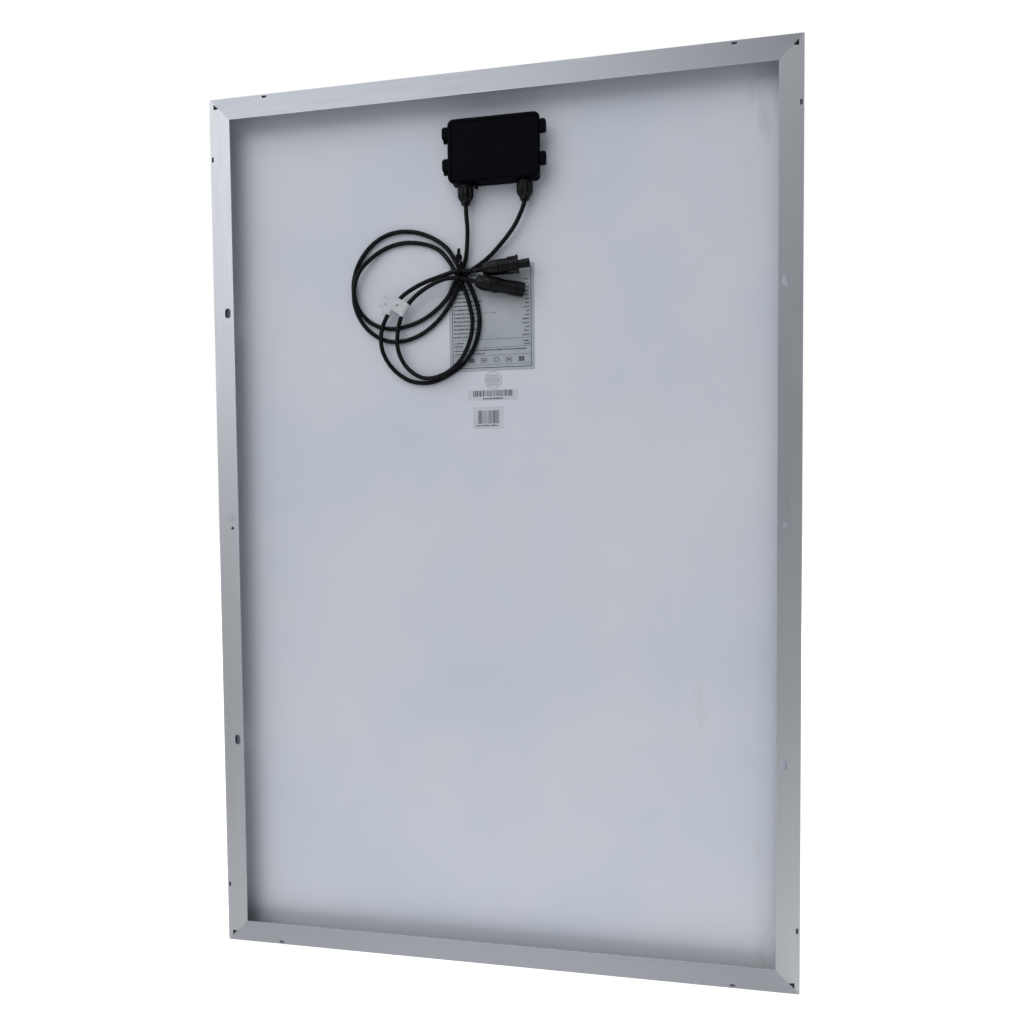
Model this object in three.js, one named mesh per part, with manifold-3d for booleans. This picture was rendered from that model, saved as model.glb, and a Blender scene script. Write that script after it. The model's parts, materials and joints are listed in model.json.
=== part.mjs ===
// A framed solar module with 36 cells, standing on its short edge.
// Millimetres, +Z up. X runs to the right when the module is seen from behind, the back
// faces -Y and the glass faces +Y. The origin is under the middle of the bottom edge.
import * as THREE from 'three';
import { mergeVertices } from 'three/addons/utils/BufferGeometryUtils.js';
import Module from 'manifold-3d';

const wasm = await Module();
wasm.setup();

// ---- driving dimensions ----

const MODULE = { width: 670, height: 1020, depth: 30 };
const FRONT = MODULE.depth / 2;
const BACK = -MODULE.depth / 2;

// Frame section: u runs inward from the outer wall, y is the module's own depth.
const PROFILE = {
  wall: 1.5, lip: 8, flange: 25, flangeThickness: 1.6, shelf: 11,
  groove: 6.25, shelfThickness: 1.5, chamber: 7.35, chamberFloor: 1.4, innerWall: 1.4,
};
const MITRE_GAP = 0.15;
const CORNER_NOTCH = { inset: 5.3, size: 7 };
const MOUNTING_SLOT = { width: 7.5, height: 12, fromEdge: 17.5, heights: [251, 768] };
const GROUND_HOLE = { diameter: 4.2, fromEdge: 17.5, height: 510 };
const DRAIN_SLOT = { length: 6, near: 1.5, far: 4.3, fromCorner: 70 };

// Laminate, from the glass to the backsheet.
const BEAD = 0.8;
const BEAD_GAP = 0.05;
const BEAD_COVER = 6;
const LAYER = { glass: 3.2, frontFilm: 0.45, cell: 0.2, rearFilm: 0.45, backsheet: 0.35 };
const LAYER_GAP = 0.02;
const CELL = { width: 156, height: 104, gap: 2.5, columns: 4, rows: 9 };
const RIBBON = { width: 1.6, offsets: [-39, 39], reach: 3 };
const BUS = { width: 5, endRow: 1001, tapRow: 994, bottomRow: 25 };

// Junction box, centred behind the top row of cells.
const BOX = {
  x: 6.6, z: 934.5, lidWidth: 104.6, lidHeight: 70.4, corner: 7, adhesive: 0.8,
  skirt: 1.8, skirtGap: 0.25, wall: 2, floor: 2, lidFace: -14.2, lidThickness: 2,
  skirtEnd: -8.6, footInset: 1.6, footThickness: 1.8,
};
const EAR = { height: 13, reach: 6.8, rows: [20.6, -14.8], cheek: 1.8, gap: 0.4 };
const HINGE = { fromLid: 3.8, y: -5.9, pin: 2.4, bore: 3.2 };
const SEAL = { near: 1, far: 2.2, depth: 1.5, radius: 2.4 };
const RIB = { near: 2.4, far: 3.8, depth: 3, radius: 1.8 };
const TERMINAL = { xs: [-14.4, 6.6, 27.6], width: 15, height: 30, thickness: 1.2, foot: 2.2 };
const LEAD_SLIT_Z = 953;
const DIODE = { diameter: 5.4, length: 9.5 };

// Cable glands under the box.
const GLAND = {
  xs: [-27.4, 40.5], y: -1.7, collar: 19, stub: 12, bore: 8.6, seal: 8.1, top: 897.2,
  nutOuter: 18.8, nutRib: 0.6, nutLength: 19.6, ribs: 10, nose: 11,
};

// Output cables: each one runs from its gland through the tie, once round the wide loop,
// through the tie, once round the low loop, through the tie and into its connector.
const CABLE = { diameter: 5, sides: 8, gap: 0.3, lead: 10 };
const CABLE_ROUTES = {
  cable_left: [
    [-27.4, -1.7, 877.2], [-26.8, -1.7, 864], [-26, -0.5, 850], [-28, 2.8, 826],
    [-30.5, 3.7, 814.5], [-44, 4.4, 789.5], [-51.5, 5.3, 776.5], [-63, 5.3, 764.5],
    [-79, 5.3, 753.5], [-99, 5.3, 746], [-121, 5.3, 743.5], [-142, 5.3, 750], [-157, 5.3, 764],
    [-165, 5.3, 783], [-165, 5.3, 804], [-156, 5.3, 826.5], [-138, 5.3, 845.5], [-116, 5.3, 854.5],
    [-91.5, 5.3, 854], [-69, 4.6, 845.5], [-50.5, 1.6, 831], [-35, -1.6, 806],
    [-27.5, -1, 794.5], [-16, 4.8, 763], [-14.5, 5.3, 743], [-19, 5.3, 722],
    [-31, 5.3, 702], [-50, 5.3, 687.5], [-73, 5.3, 679], [-97, 4.5, 681.5], [-117, 1.5, 695.5],
    [-129, -0.6, 716], [-130.5, -0.6, 738], [-121.5, -0.6, 760], [-105, -0.6, 778.5],
    [-83, -1.2, 791], [-60.5, -2.6, 798], [-37, -7.3, 802],
  ],
  cable_right: [
    [40.5, -1.7, 877.2], [35.5, -1.4, 864], [25.5, 0, 847], [-2.5, 3.4, 818.5], [-30, 3.9, 799.8],
    [-36.5, 3.9, 791], [-41.5, 4.6, 781], [-49, 5.3, 768], [-62.5, 5.3, 751], [-82.5, 5.3, 736],
    [-105.5, 5.3, 728.5], [-128, 5.3, 730.5], [-148.5, 3, 744], [-161, -0.4, 766],
    [-163.5, -0.4, 788.5], [-157.5, -0.4, 809], [-144.5, 3, 825], [-126, 5.3, 837],
    [-105, 5.3, 842], [-82, 5.3, 840], [-62, 4, 831.5], [-48.5, 0.4, 816.5], [-40.8, -1.6, 803],
    [-34, -1.6, 791.5], [-26.5, -0.9, 772], [-21.5, -0.4, 746], [-25.5, -0.4, 722],
    [-37, -0.4, 701], [-57, -0.4, 686.5], [-79.5, -0.4, 683.5], [-99, -0.4, 695.5],
    [-110.5, -0.4, 717.5], [-109.5, -0.4, 744.5], [-101.5, -1.4, 763.5], [-86.5, -5, 778],
    [-66, -8, 789], [-48, -7.6, 794.6], [-33, -7.2, 793.7],
  ],
};
const CABLE_STEPS = 64;
const TIE = { x: -35.3, y: -1.7, z: 800, width: 2.6, inner: [16.8, 32], band: 1.1, tail: 12 };

// The two connectors on the cables' ends: axis from the nut's back face to the tip.
const CONNECTORS = {
  socket: { rear: [-8.4, -5.4, 802.6], tip: [45.8, -4.8, 807.2], nose: 9.8, noseLength: 13.5 },
  plug: { rear: [-16, -5.6, 789.6], tip: [39, -0.6, 777.8], nose: 15.4, noseLength: 7 },
};
const COUPLER = { nut: 17, nutLength: 19, body: 17.6, neck: 13, bore: 10.6, pin: 4, nutSlots: 6 };

// Labels on the backsheet.
const LABEL_THICKNESS = 0.12;
const LABELS = {
  rating_label: { x: -0.6, z: 750.5, width: 99.8, height: 121, colour: 0xb3bcc2 },
  barcode_label_long: { x: 0.2, z: 662.2, width: 59, height: 12.4, colour: 0xf2f3f2 },
  barcode_label_small: { x: -5.4, z: 636.2, width: 35.8, height: 25.6, colour: 0xf2f3f2 },
};
const STICKER = { x: 0.8, z: 679.2, diameter: 21 };
const TAGS = {
  cable_tag_left: { cable: 'cable_left', at: 736.5, flag: 12 },
  cable_tag_right: { cable: 'cable_right', at: 733, flag: 5 },
};
const TAG = { length: 17, bore: 6.3, outside: 7.5, flagThickness: 0.6 };

// ---- worked-out levels, along the module's depth ----

const GROOVE_FRONT = FRONT - PROFILE.wall;
const GROOVE_BACK = GROOVE_FRONT - PROFILE.groove;
const GLASS_FRONT = GROOVE_FRONT - BEAD;
const GLASS_BACK = GLASS_FRONT - LAYER.glass;
const CELL_FRONT = GLASS_BACK - LAYER.frontFilm;
const CELL_BACK = CELL_FRONT - LAYER.cell;
const SHEET_FRONT = CELL_BACK - LAYER.rearFilm;
const SHEET_BACK = SHEET_FRONT - LAYER.backsheet;
const LAMINATE_INSET = PROFILE.wall + BEAD;
const BOX_BACK = SHEET_BACK - BOX.adhesive;
const BODY_WIDTH = BOX.lidWidth - 2 * (BOX.skirt + BOX.skirtGap);
const BODY_HEIGHT = BOX.lidHeight - 2 * (BOX.skirt + BOX.skirtGap);
const RIM = BOX.lidFace + BOX.lidThickness;

// ---- materials ----

const paint = (color, roughness, metalness = 0) =>
  new THREE.MeshStandardMaterial({ color, roughness, metalness });
const aluminium = paint(0xc9cdd1, 0.45, 0.9);
const tinned = paint(0xd6d8da, 0.35, 0.9);
const silicone = paint(0xe8e8e4, 0.7);
const glass = paint(0x9fb4bc, 0.08);
const film = paint(0xf1f2ee, 0.5);
const silicon = paint(0x1c2f5c, 0.3, 0.3);
const sheetWhite = paint(0xb9bdc9, 0.55);
const boxPlastic = paint(0x15171c, 0.5);
const rubber = paint(0x0c0d0f, 0.8);
const cableBlack = paint(0x0d0e12, 0.55);
const tagFilm = paint(0xf4f5f5, 0.35);

// ---- tools for solids ----

function solid(geometry) {
  const bare = geometry.clone();
  bare.deleteAttribute('normal');
  bare.deleteAttribute('uv');
  const merged = mergeVertices(bare, 1e-4);
  return new wasm.Manifold(new wasm.Mesh({
    numProp: 3,
    vertProperties: new Float32Array(merged.attributes.position.array),
    triVerts: new Uint32Array(merged.index.array),
  }));
}

function surface(manifold) {
  const result = manifold.getMesh();
  const geometry = new THREE.BufferGeometry();
  geometry.setAttribute('position', new THREE.BufferAttribute(result.vertProperties, 3));
  geometry.setIndex(new THREE.BufferAttribute(result.triVerts, 1));
  geometry.computeVertexNormals();
  return geometry;
}

// A block between two corners.
function block(x0, x1, y0, y1, z0, z1) {
  const geometry = new THREE.BoxGeometry(x1 - x0, y1 - y0, z1 - z0);
  geometry.translate((x0 + x1) / 2, (y0 + y1) / 2, (z0 + z1) / 2);
  return solid(geometry);
}

// An outline drawn in X and Z, drawn out along Y from y0 to y1.
function slab(outline, y0, y1, curveSegments = 3) {
  const geometry = new THREE.ExtrudeGeometry(outline, {
    depth: y1 - y0, bevelEnabled: false, curveSegments,
  });
  geometry.rotateX(Math.PI / 2);
  geometry.translate(0, y1, 0);
  return solid(geometry);
}

function roundedOutline(x, z, width, height, radius) {
  const [w, h] = [width / 2 - radius, height / 2 - radius];
  const outline = new THREE.Shape();
  outline.absarc(x + w, z + h, radius, 0, Math.PI / 2);
  outline.absarc(x - w, z + h, radius, Math.PI / 2, Math.PI);
  outline.absarc(x - w, z - h, radius, Math.PI, 1.5 * Math.PI);
  outline.absarc(x + w, z - h, radius, 1.5 * Math.PI, 2 * Math.PI);
  return outline;
}

function circleOutline(x, z, diameter) {
  const outline = new THREE.Shape();
  outline.absarc(x, z, diameter / 2, 0, 2 * Math.PI);
  return outline;
}

// A body of revolution about Z: the profile lists [radius, height] from the axis and back.
function turned(profile, segments = 16) {
  const points = profile.map(([radius, height]) => new THREE.Vector2(radius, height));
  const geometry = new THREE.LatheGeometry(points, segments);
  geometry.rotateX(Math.PI / 2);
  return solid(geometry);
}

function cylinder(diameter, z0, z1, segments = 16) {
  const r = diameter / 2;
  return turned([[0, z0], [r, z0], [r, z1], [0, z1]], segments);
}

const module = new THREE.Group();

function add(name, shape, material, parent = module) {
  const geometry = shape.isBufferGeometry ? shape : surface(shape);
  const mesh = new THREE.Mesh(geometry, material);
  mesh.name = name;
  parent.add(mesh);
  return mesh;
}

// ---- frame ----

function frameSection() {
  const p = PROFILE;
  const shelfBack = GROOVE_BACK - p.shelfThickness;
  const chamberBack = shelfBack - p.chamber;
  const section = new THREE.Shape([
    [0, BACK], [p.flange, BACK], [p.flange, BACK + p.flangeThickness],
    [p.wall, BACK + p.flangeThickness], [p.wall, chamberBack - p.chamberFloor],
    [p.shelf, chamberBack - p.chamberFloor], [p.shelf, GROOVE_BACK], [p.wall, GROOVE_BACK],
    [p.wall, GROOVE_FRONT], [p.lip, GROOVE_FRONT], [p.lip, FRONT], [0, FRONT],
  ].map(([u, y]) => new THREE.Vector2(u, y)));
  const chamber = [
    [p.wall, chamberBack], [p.wall, shelfBack],
    [p.shelf - p.innerWall, shelfBack], [p.shelf - p.innerWall, chamberBack],
  ];
  section.holes.push(new THREE.Path(chamber.map(([u, y]) => new THREE.Vector2(u, y))));
  return section;
}

// A member lies along its own Z, with u along X; both ends are mitred at 45 degrees.
function frameMember(length) {
  const geometry = new THREE.ExtrudeGeometry(frameSection(), { depth: length, bevelEnabled: false });
  const position = geometry.attributes.position;
  for (let i = 0; i < position.count; i += 1) {
    const shift = position.getX(i) + MITRE_GAP;
    const z = position.getZ(i);
    position.setZ(i, z < length / 2 ? z + shift : z - shift);
  }
  let member = solid(geometry);
  for (const t of [DRAIN_SLOT.fromCorner, length - DRAIN_SLOT.fromCorner]) {
    const { length: long, near, far } = DRAIN_SLOT;
    member = member.subtract(
      block(near, far, BACK - 1, BACK + PROFILE.flangeThickness + 1, t - long / 2, t + long / 2));
  }
  return member;
}

function sideMember(heightAt) {
  let member = frameMember(MODULE.height);
  // A small triangular window in the flange beside each mitre.
  for (const [end, way] of [[0, 1], [MODULE.height, -1]]) {
    const { inset, size } = CORNER_NOTCH;
    const window = new THREE.Shape([
      [inset, end + way * (inset - 1)], [inset + size, end + way * (inset + size - 1)],
      [inset, end + way * (inset + size)],
    ].map(([u, t]) => new THREE.Vector2(u, t)));
    member = member.subtract(slab(window, BACK - 1, BACK + 3));
  }
  for (const height of MOUNTING_SLOT.heights) {
    const { width, height: tall, fromEdge } = MOUNTING_SLOT;
    const slot = roundedOutline(fromEdge, heightAt(height), width, tall, width / 2 - 0.01);
    member = member.subtract(slab(slot, BACK - 1, BACK + 3, 6));
  }
  const hole = circleOutline(GROUND_HOLE.fromEdge, heightAt(GROUND_HOLE.height),
    GROUND_HOLE.diameter);
  return member.subtract(slab(hole, BACK - 1, BACK + 3, 10));
}

function place(mesh, [x, z], inward, along) {
  const depth = new THREE.Vector3(0, 1, 0);
  const turn = new THREE.Matrix4().makeBasis(inward, depth, along);
  mesh.quaternion.setFromRotationMatrix(turn);
  mesh.position.set(x, 0, z);
}

function makeFrame() {
  const half = MODULE.width / 2;
  const right = new THREE.Vector3(1, 0, 0);
  const up = new THREE.Vector3(0, 0, 1);
  const left = right.clone().negate();
  const down = up.clone().negate();
  const bottom = add('frame_bottom', frameMember(MODULE.width), aluminium);
  place(bottom, [half, 0], up, left);
  const top = add('frame_top', frameMember(MODULE.width), aluminium);
  place(top, [-half, MODULE.height], down, right);
  const leftSide = add('frame_left', sideMember((height) => height), aluminium);
  place(leftSide, [-half, 0], right, up);
  const rightSide = add('frame_right', sideMember((height) => MODULE.height - height), aluminium);
  place(rightSide, [half, MODULE.height], left, down);
}

// An L-shaped key fills the hollow chamber of both members at each corner.
function makeCornerKeys() {
  const p = PROFILE;
  const clear = 0.3;
  const reach = 45;
  const back = GROOVE_BACK - p.shelfThickness - p.chamber + clear;
  const front = GROOVE_BACK - p.shelfThickness - clear;
  const [near, far] = [p.wall + clear, p.shelf - p.innerWall - clear];
  for (const [side, sx] of [['left', -1], ['right', 1]]) {
    for (const [end, edge, sz] of [['bottom', 0, 1], ['top', MODULE.height, -1]]) {
      const outline = new THREE.Shape([
        [near, near], [near, reach], [far, reach], [far, far], [reach, far], [reach, near],
      ].map(([u, t]) => new THREE.Vector2(sx * (MODULE.width / 2 - u), edge + sz * t)));
      add(`corner_key_${end}_${side}`, slab(outline, back, front), aluminium);
    }
  }
}

// ---- laminate ----

function layerBlock(inset, y0, y1) {
  const half = MODULE.width / 2 - inset;
  return block(-half, half, y0, y1, inset, MODULE.height - inset);
}

function makeSealant() {
  const outside = layerBlock(PROFILE.wall + BEAD_GAP, GROOVE_BACK + BEAD_GAP,
    GROOVE_FRONT - BEAD_GAP);
  const inside = layerBlock(LAMINATE_INSET - BEAD_GAP, SHEET_BACK - BEAD_GAP,
    GLASS_FRONT + BEAD_GAP);
  const window = layerBlock(PROFILE.wall + BEAD_COVER, BACK, FRONT);
  add('edge_sealant', outside.subtract(inside).subtract(window), silicone);
}

// The slit that lets the lead ribbons out of the laminate and into the box.
function leadSlit(y0, y1) {
  const margin = 4;
  return block(TERMINAL.xs[0] - margin, TERMINAL.xs[2] + margin, y0, y1,
    LEAD_SLIT_Z - 2, LEAD_SLIT_Z + 2);
}

function makeSheets() {
  const gap = LAYER_GAP;
  add('front_glass', layerBlock(LAMINATE_INSET, GLASS_BACK + gap, GLASS_FRONT), glass);
  add('front_encapsulant', layerBlock(LAMINATE_INSET, CELL_FRONT + gap, GLASS_BACK), film);
  let rearFilm = layerBlock(LAMINATE_INSET, SHEET_FRONT + gap, CELL_BACK - gap);
  for (const x of TERMINAL.xs) {
    const half = BUS.width / 2 + 0.4;
    rearFilm = rearFilm.subtract(
      block(x - half, x + half, SHEET_FRONT, CELL_BACK, LEAD_SLIT_Z - 2, BUS.endRow + 4));
  }
  add('rear_encapsulant', rearFilm, film);
  const backsheet = layerBlock(LAMINATE_INSET, SHEET_BACK, SHEET_FRONT);
  add('backsheet', backsheet.subtract(leadSlit(SHEET_BACK - 1, SHEET_FRONT + 1)), sheetWhite);
}

const columnX = (column) =>
  (column - (CELL.columns - 1) / 2) * (CELL.width + CELL.gap);
const rowZ = (row) =>
  MODULE.height / 2 + (row - (CELL.rows - 1) / 2) * (CELL.height + CELL.gap);

function makeCellStrings() {
  const wafer = 0.04;
  const ribbon = 0.02;
  for (let column = 0; column < CELL.columns; column += 1) {
    const x = columnX(column);
    const bottom = rowZ(0) - CELL.height / 2 - RIBBON.reach;
    const top = rowZ(CELL.rows - 1) + CELL.height / 2 + RIBBON.reach;
    let string = null;
    for (const offset of RIBBON.offsets) {
      const strip = block(x + offset - RIBBON.width / 2, x + offset + RIBBON.width / 2,
        CELL_BACK + ribbon, CELL_FRONT - ribbon, bottom, top);
      string = string ? string.add(strip) : strip;
    }
    for (let row = 0; row < CELL.rows; row += 1) {
      const z = rowZ(row);
      string = string.add(block(x - CELL.width / 2, x + CELL.width / 2,
        CELL_BACK + wafer, CELL_FRONT - wafer, z - CELL.height / 2, z + CELL.height / 2));
    }
    add(`cell_string_${column + 1}`, string, silicon);
  }
}

function busStrip(x0, x1, z) {
  const half = BUS.width / 2;
  return block(x0, x1, CELL_BACK + 0.02, CELL_FRONT - 0.02, z - half, z + half);
}

// A lead ribbon runs down behind the cells and through the slit, up to its terminal.
function leadRibbon(x, fromZ) {
  const half = BUS.width / 2;
  const thickness = 0.2;
  const behind = CELL_BACK - 0.1;
  const join = block(x - half, x + half, behind - thickness, CELL_FRONT - 0.02,
    fromZ - half, fromZ + half);
  const run = block(x - half, x + half, behind - thickness, behind, LEAD_SLIT_Z, fromZ + half);
  const exit = block(x - half, x + half, TERMINAL_FACE + 0.3, behind,
    LEAD_SLIT_Z, LEAD_SLIT_Z + thickness);
  return join.add(run).add(exit);
}

function makeBusRibbons() {
  const outer = columnX(3) + RIBBON.offsets[1] + 4;
  const inner = columnX(2) + RIBBON.offsets[1] + 4;
  const [left, middle, right] = TERMINAL.xs;
  const half = BUS.width / 2;
  add('bus_ribbon_left', busStrip(-outer, left + half, BUS.endRow)
    .add(leadRibbon(left, BUS.endRow)), tinned);
  add('bus_ribbon_middle', busStrip(-inner, inner, BUS.tapRow)
    .add(leadRibbon(middle, BUS.tapRow)), tinned);
  add('bus_ribbon_right', busStrip(right - half, outer, BUS.endRow)
    .add(leadRibbon(right, BUS.endRow)), tinned);
  const first = columnX(2) + RIBBON.offsets[0] - 4;
  add('bus_ribbon_bottom_left', busStrip(-outer, -first, BUS.bottomRow), tinned);
  add('bus_ribbon_bottom_right', busStrip(first, outer, BUS.bottomRow), tinned);
}

// ---- junction box ----

const FLOOR_FACE = BOX_BACK - BOX.floor;
const TERMINAL_FACE = FLOOR_FACE - TERMINAL.foot;
const HINGE_X = BOX.x - BOX.lidWidth / 2 - HINGE.fromLid;

function makeBoxBase() {
  const foot = roundedOutline(BOX.x, BOX.z, BOX.lidWidth - 2 * BOX.footInset,
    BOX.lidHeight - 2 * BOX.footInset, BOX.corner - BOX.footInset);
  const body = roundedOutline(BOX.x, BOX.z, BODY_WIDTH, BODY_HEIGHT, BOX.corner - 2);
  const cavity = roundedOutline(BOX.x, BOX.z, BODY_WIDTH - 2 * BOX.wall,
    BODY_HEIGHT - 2 * BOX.wall, BOX.corner - 3);
  let base = slab(foot, BOX_BACK - BOX.footThickness, BOX_BACK);
  for (const x of GLAND.xs) {
    const wallBottom = BOX.z - BODY_HEIGHT / 2;
    const stub = cylinder(GLAND.collar, GLAND.top + 0.3, wallBottom + 1)
      .add(cylinder(GLAND.stub, GLAND.top - 9, wallBottom + 1));
    base = base.add(stub.translate(x, GLAND.y, 0));
  }
  // The collars are cut flush with the foot, and clear of the lid and its skirt.
  const below = BOX.z - BOX.lidHeight / 2;
  base = base.subtract(block(-100, 100, BOX_BACK, BOX_BACK + 20, below - 30, below + 30))
    .subtract(block(-100, 100, BACK - 1, BOX.skirtEnd + 0.4, below - 0.3, below + 20));
  base = base.add(slab(body, RIM, BOX_BACK - 0.5)).subtract(slab(cavity, RIM - 1, FLOOR_FACE));
  for (const x of GLAND.xs) {
    const bore = cylinder(GLAND.bore, GLAND.top - 12, BOX.z - BODY_HEIGHT / 2 + 6);
    base = base.subtract(bore.translate(x, GLAND.y, 0));
  }
  base = base.subtract(leadSlit(FLOOR_FACE - 1, BOX_BACK + 1));
  for (const row of EAR.rows) {
    const z = BOX.z + row;
    const bodyEdge = BOX.x - BODY_WIDTH / 2;
    const half = EAR.height / 2 + EAR.gap;
    // Hinge pin between two cheeks on the left, a wedge catch on the right.
    for (const [z0, z1] of [[z - half - EAR.cheek, z - half], [z + half, z + half + EAR.cheek]]) {
      base = base.add(block(HINGE_X - 1.9, bodyEdge + 0.5, BOX.skirtEnd + 0.6, HINGE.y + 2, z0, z1));
    }
    base = base.add(cylinder(HINGE.pin, z - half - 1, z + half + 1, 12)
      .translate(HINGE_X, HINGE.y, 0));
    const rightEdge = BOX.x + BODY_WIDTH / 2;
    base = base.add(block(rightEdge - 0.5, BOX.x + BOX.lidWidth / 2 + EAR.reach - 2.6,
      BOX.skirtEnd + 0.6, HINGE.y, z - 2.8, z + 2.8));
  }
  // Comb of small ribs along the bottom edge between the glands.
  const comb = { first: -12, count: 13, pitch: 3, width: 1.4, drop: 0.9 };
  for (let i = 0; i < comb.count; i += 1) {
    const x = comb.first + i * comb.pitch;
    const bottom = BOX.z - BOX.lidHeight / 2 + BOX.footInset;
    base = base.add(block(x, x + comb.width, BOX.skirtEnd + 0.5, BOX_BACK - 0.5,
      bottom - comb.drop, BOX.z - BODY_HEIGHT / 2 + 0.5));
  }
  add('junction_box_base', base, boxPlastic);
}

// An ear of the lid: a strap that reaches out and then down past the edge, with a window.
function lidEar(side, z) {
  const edge = BOX.x + side * BOX.lidWidth / 2;
  const out = edge + side * EAR.reach;
  const [x0, x1] = [Math.min(edge - side, out), Math.max(edge - side, out)];
  const ear = block(x0, x1, BOX.lidFace + 2, HINGE.y + 2.4, z - EAR.height / 2, z + EAR.height / 2);
  const window = 3.1;
  const [w0, w1] = side < 0 ? [HINGE_X + 2.7, edge + 1.1] : [edge - 1.1, out - 2.2];
  const inner = block(w0, w1, BOX.lidFace + 4.2, 0, z - window, z + window);
  return ear.subtract(inner);
}

// A ring along the inside of the box's wall, from its near distance to the wall to its far one.
function wallRing({ near, far, depth, radius }, y0) {
  const outline = (distance) => roundedOutline(BOX.x, BOX.z,
    BODY_WIDTH - 2 * (BOX.wall + distance), BODY_HEIGHT - 2 * (BOX.wall + distance), radius);
  return slab(outline(near), y0, RIM + depth).subtract(slab(outline(far), y0 - 1, RIM + depth + 1));
}

function makeLid() {
  const outline = roundedOutline(BOX.x, BOX.z, BOX.lidWidth, BOX.lidHeight, BOX.corner);
  const inner = roundedOutline(BOX.x, BOX.z, BOX.lidWidth - 2 * BOX.skirt,
    BOX.lidHeight - 2 * BOX.skirt, BOX.corner - BOX.skirt);
  const panel = roundedOutline(BOX.x, BOX.z, BOX.lidWidth - 9, BOX.lidHeight - 9, 3);
  let lid = slab(outline, BOX.lidFace, BOX.skirtEnd);
  for (const row of EAR.rows) {
    lid = lid.add(lidEar(-1, BOX.z + row)).add(lidEar(1, BOX.z + row));
  }
  lid = lid.subtract(slab(inner, RIM - 0.05, 20));
  lid = lid.subtract(slab(panel, BOX.lidFace - 1, BOX.lidFace + 0.6));
  for (const row of EAR.rows) {
    const bore = cylinder(HINGE.bore, BOX.z + row - EAR.height, BOX.z + row + EAR.height, 16);
    lid = lid.subtract(bore.translate(HINGE_X, HINGE.y, 0));
  }
  // The rib and the seal round it stand in from the wall, so that both swing out clear of it.
  lid = lid.add(wallRing(RIB, RIM - 0.5));
  add('junction_box_lid', lid, boxPlastic);
  add('lid_seal', wallRing(SEAL, RIM + 0.1), rubber);
}

function makeBoxInside() {
  const pad = roundedOutline(BOX.x, BOX.z, BOX.lidWidth - 4, BOX.lidHeight - 4, 4);
  add('box_adhesive', slab(pad, BOX_BACK + 0.05, SHEET_BACK - 0.05)
    .subtract(leadSlit(BOX_BACK - 1, SHEET_BACK + 1)), silicone);
  // Terminal plates stand on a foot above the floor; the ribbons are soldered to them.
  TERMINAL.xs.forEach((x, index) => {
    const half = TERMINAL.width / 2;
    const z0 = LEAD_SLIT_Z - 4 - TERMINAL.height;
    const z1 = LEAD_SLIT_Z - 2.5;
    const plate = block(x - half, x + half, TERMINAL_FACE - TERMINAL.thickness, TERMINAL_FACE,
      z0, z1);
    const foot = block(x - 3, x + 3, TERMINAL_FACE - 0.5, FLOOR_FACE - 0.1, z0 + 8, z1 - 8);
    const name = ['left', 'middle', 'right'][index];
    add(`terminal_${name}`, plate.add(foot), tinned);
  });
  // A bypass diode bridges each pair of terminals.
  [0, 1].forEach((index) => {
    const x = (TERMINAL.xs[index] + TERMINAL.xs[index + 1]) / 2;
    const z = LEAD_SLIT_Z - 16;
    const y = TERMINAL_FACE - TERMINAL.thickness - DIODE.diameter / 2 - 0.4;
    const body = cylinder(DIODE.diameter, -DIODE.length / 2, DIODE.length / 2, 16);
    const wire = cylinder(1.2, -10, 10, 8);
    const legs = block(-0.6, 0.6, 0, 2.9, -10, -8.8).add(block(-0.6, 0.6, 0, 2.9, 8.8, 10));
    const diode = body.add(wire).add(legs).rotate([0, 90, 0]).translate(x, y, z);
    add(`bypass_diode_${index + 1}`, diode, rubber);
  });
}

// ---- glands ----

// A ribbed cap: round ribs on a barrel that closes to a small nose at the cable's side.
function ribbedBarrel(diameter, rib, length, ribs, noseDiameter, domeLength) {
  const outline = new THREE.Shape();
  for (let i = 0; i < ribs; i += 1) {
    for (const [part, radius] of [[0, 0], [0.45, 0], [0.55, -rib], [0.9, -rib]]) {
      const angle = (i + part) / ribs * 2 * Math.PI;
      const r = diameter / 2 + radius;
      const point = [r * Math.cos(angle), r * Math.sin(angle)];
      if (i === 0 && part === 0) outline.moveTo(...point);
      else outline.lineTo(...point);
    }
  }
  const barrel = solid(new THREE.ExtrudeGeometry(outline, { depth: length, bevelEnabled: false }));
  const [r, nose] = [diameter / 2 + 0.01, noseDiameter / 2];
  const dome = turned([
    [0, 0], [nose, 0], [nose + (r - nose) * 0.55, domeLength * 0.2],
    [nose + (r - nose) * 0.86, domeLength * 0.55], [r, domeLength], [r, length], [0, length],
  ], 16);
  return barrel.intersect(dome);
}

function makeGlands() {
  ['left', 'right'].forEach((side, index) => {
    const group = new THREE.Group();
    group.position.set(GLAND.xs[index], GLAND.y, GLAND.top - GLAND.nutLength);
    module.add(group);
    const nut = ribbedBarrel(GLAND.nutOuter, GLAND.nutRib, GLAND.nutLength, GLAND.ribs,
      GLAND.nose, 8)
      .subtract(cylinder(GLAND.stub + 0.6, GLAND.nutLength - 9.6, GLAND.nutLength + 1, 16))
      .subtract(cylinder(CABLE.diameter + 0.8, -1, GLAND.nutLength, 16));
    add(`gland_nut_${side}`, nut, boxPlastic, group);
    const seal = cylinder(GLAND.seal, 10.9, 22, 20).subtract(cylinder(CABLE.diameter + 0.4, 9, 24, 16));
    add(`gland_seal_${side}`, seal, rubber, group);
  });
}

// ---- cables and what is on them ----

function polygonOutline(diameter, sides) {
  const points = [];
  for (let i = 0; i < sides; i += 1) {
    const angle = (i + 0.5) / sides * 2 * Math.PI;
    points.push(new THREE.Vector2(Math.cos(angle), Math.sin(angle)).multiplyScalar(diameter / 2));
  }
  return new THREE.Shape(points);
}

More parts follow.
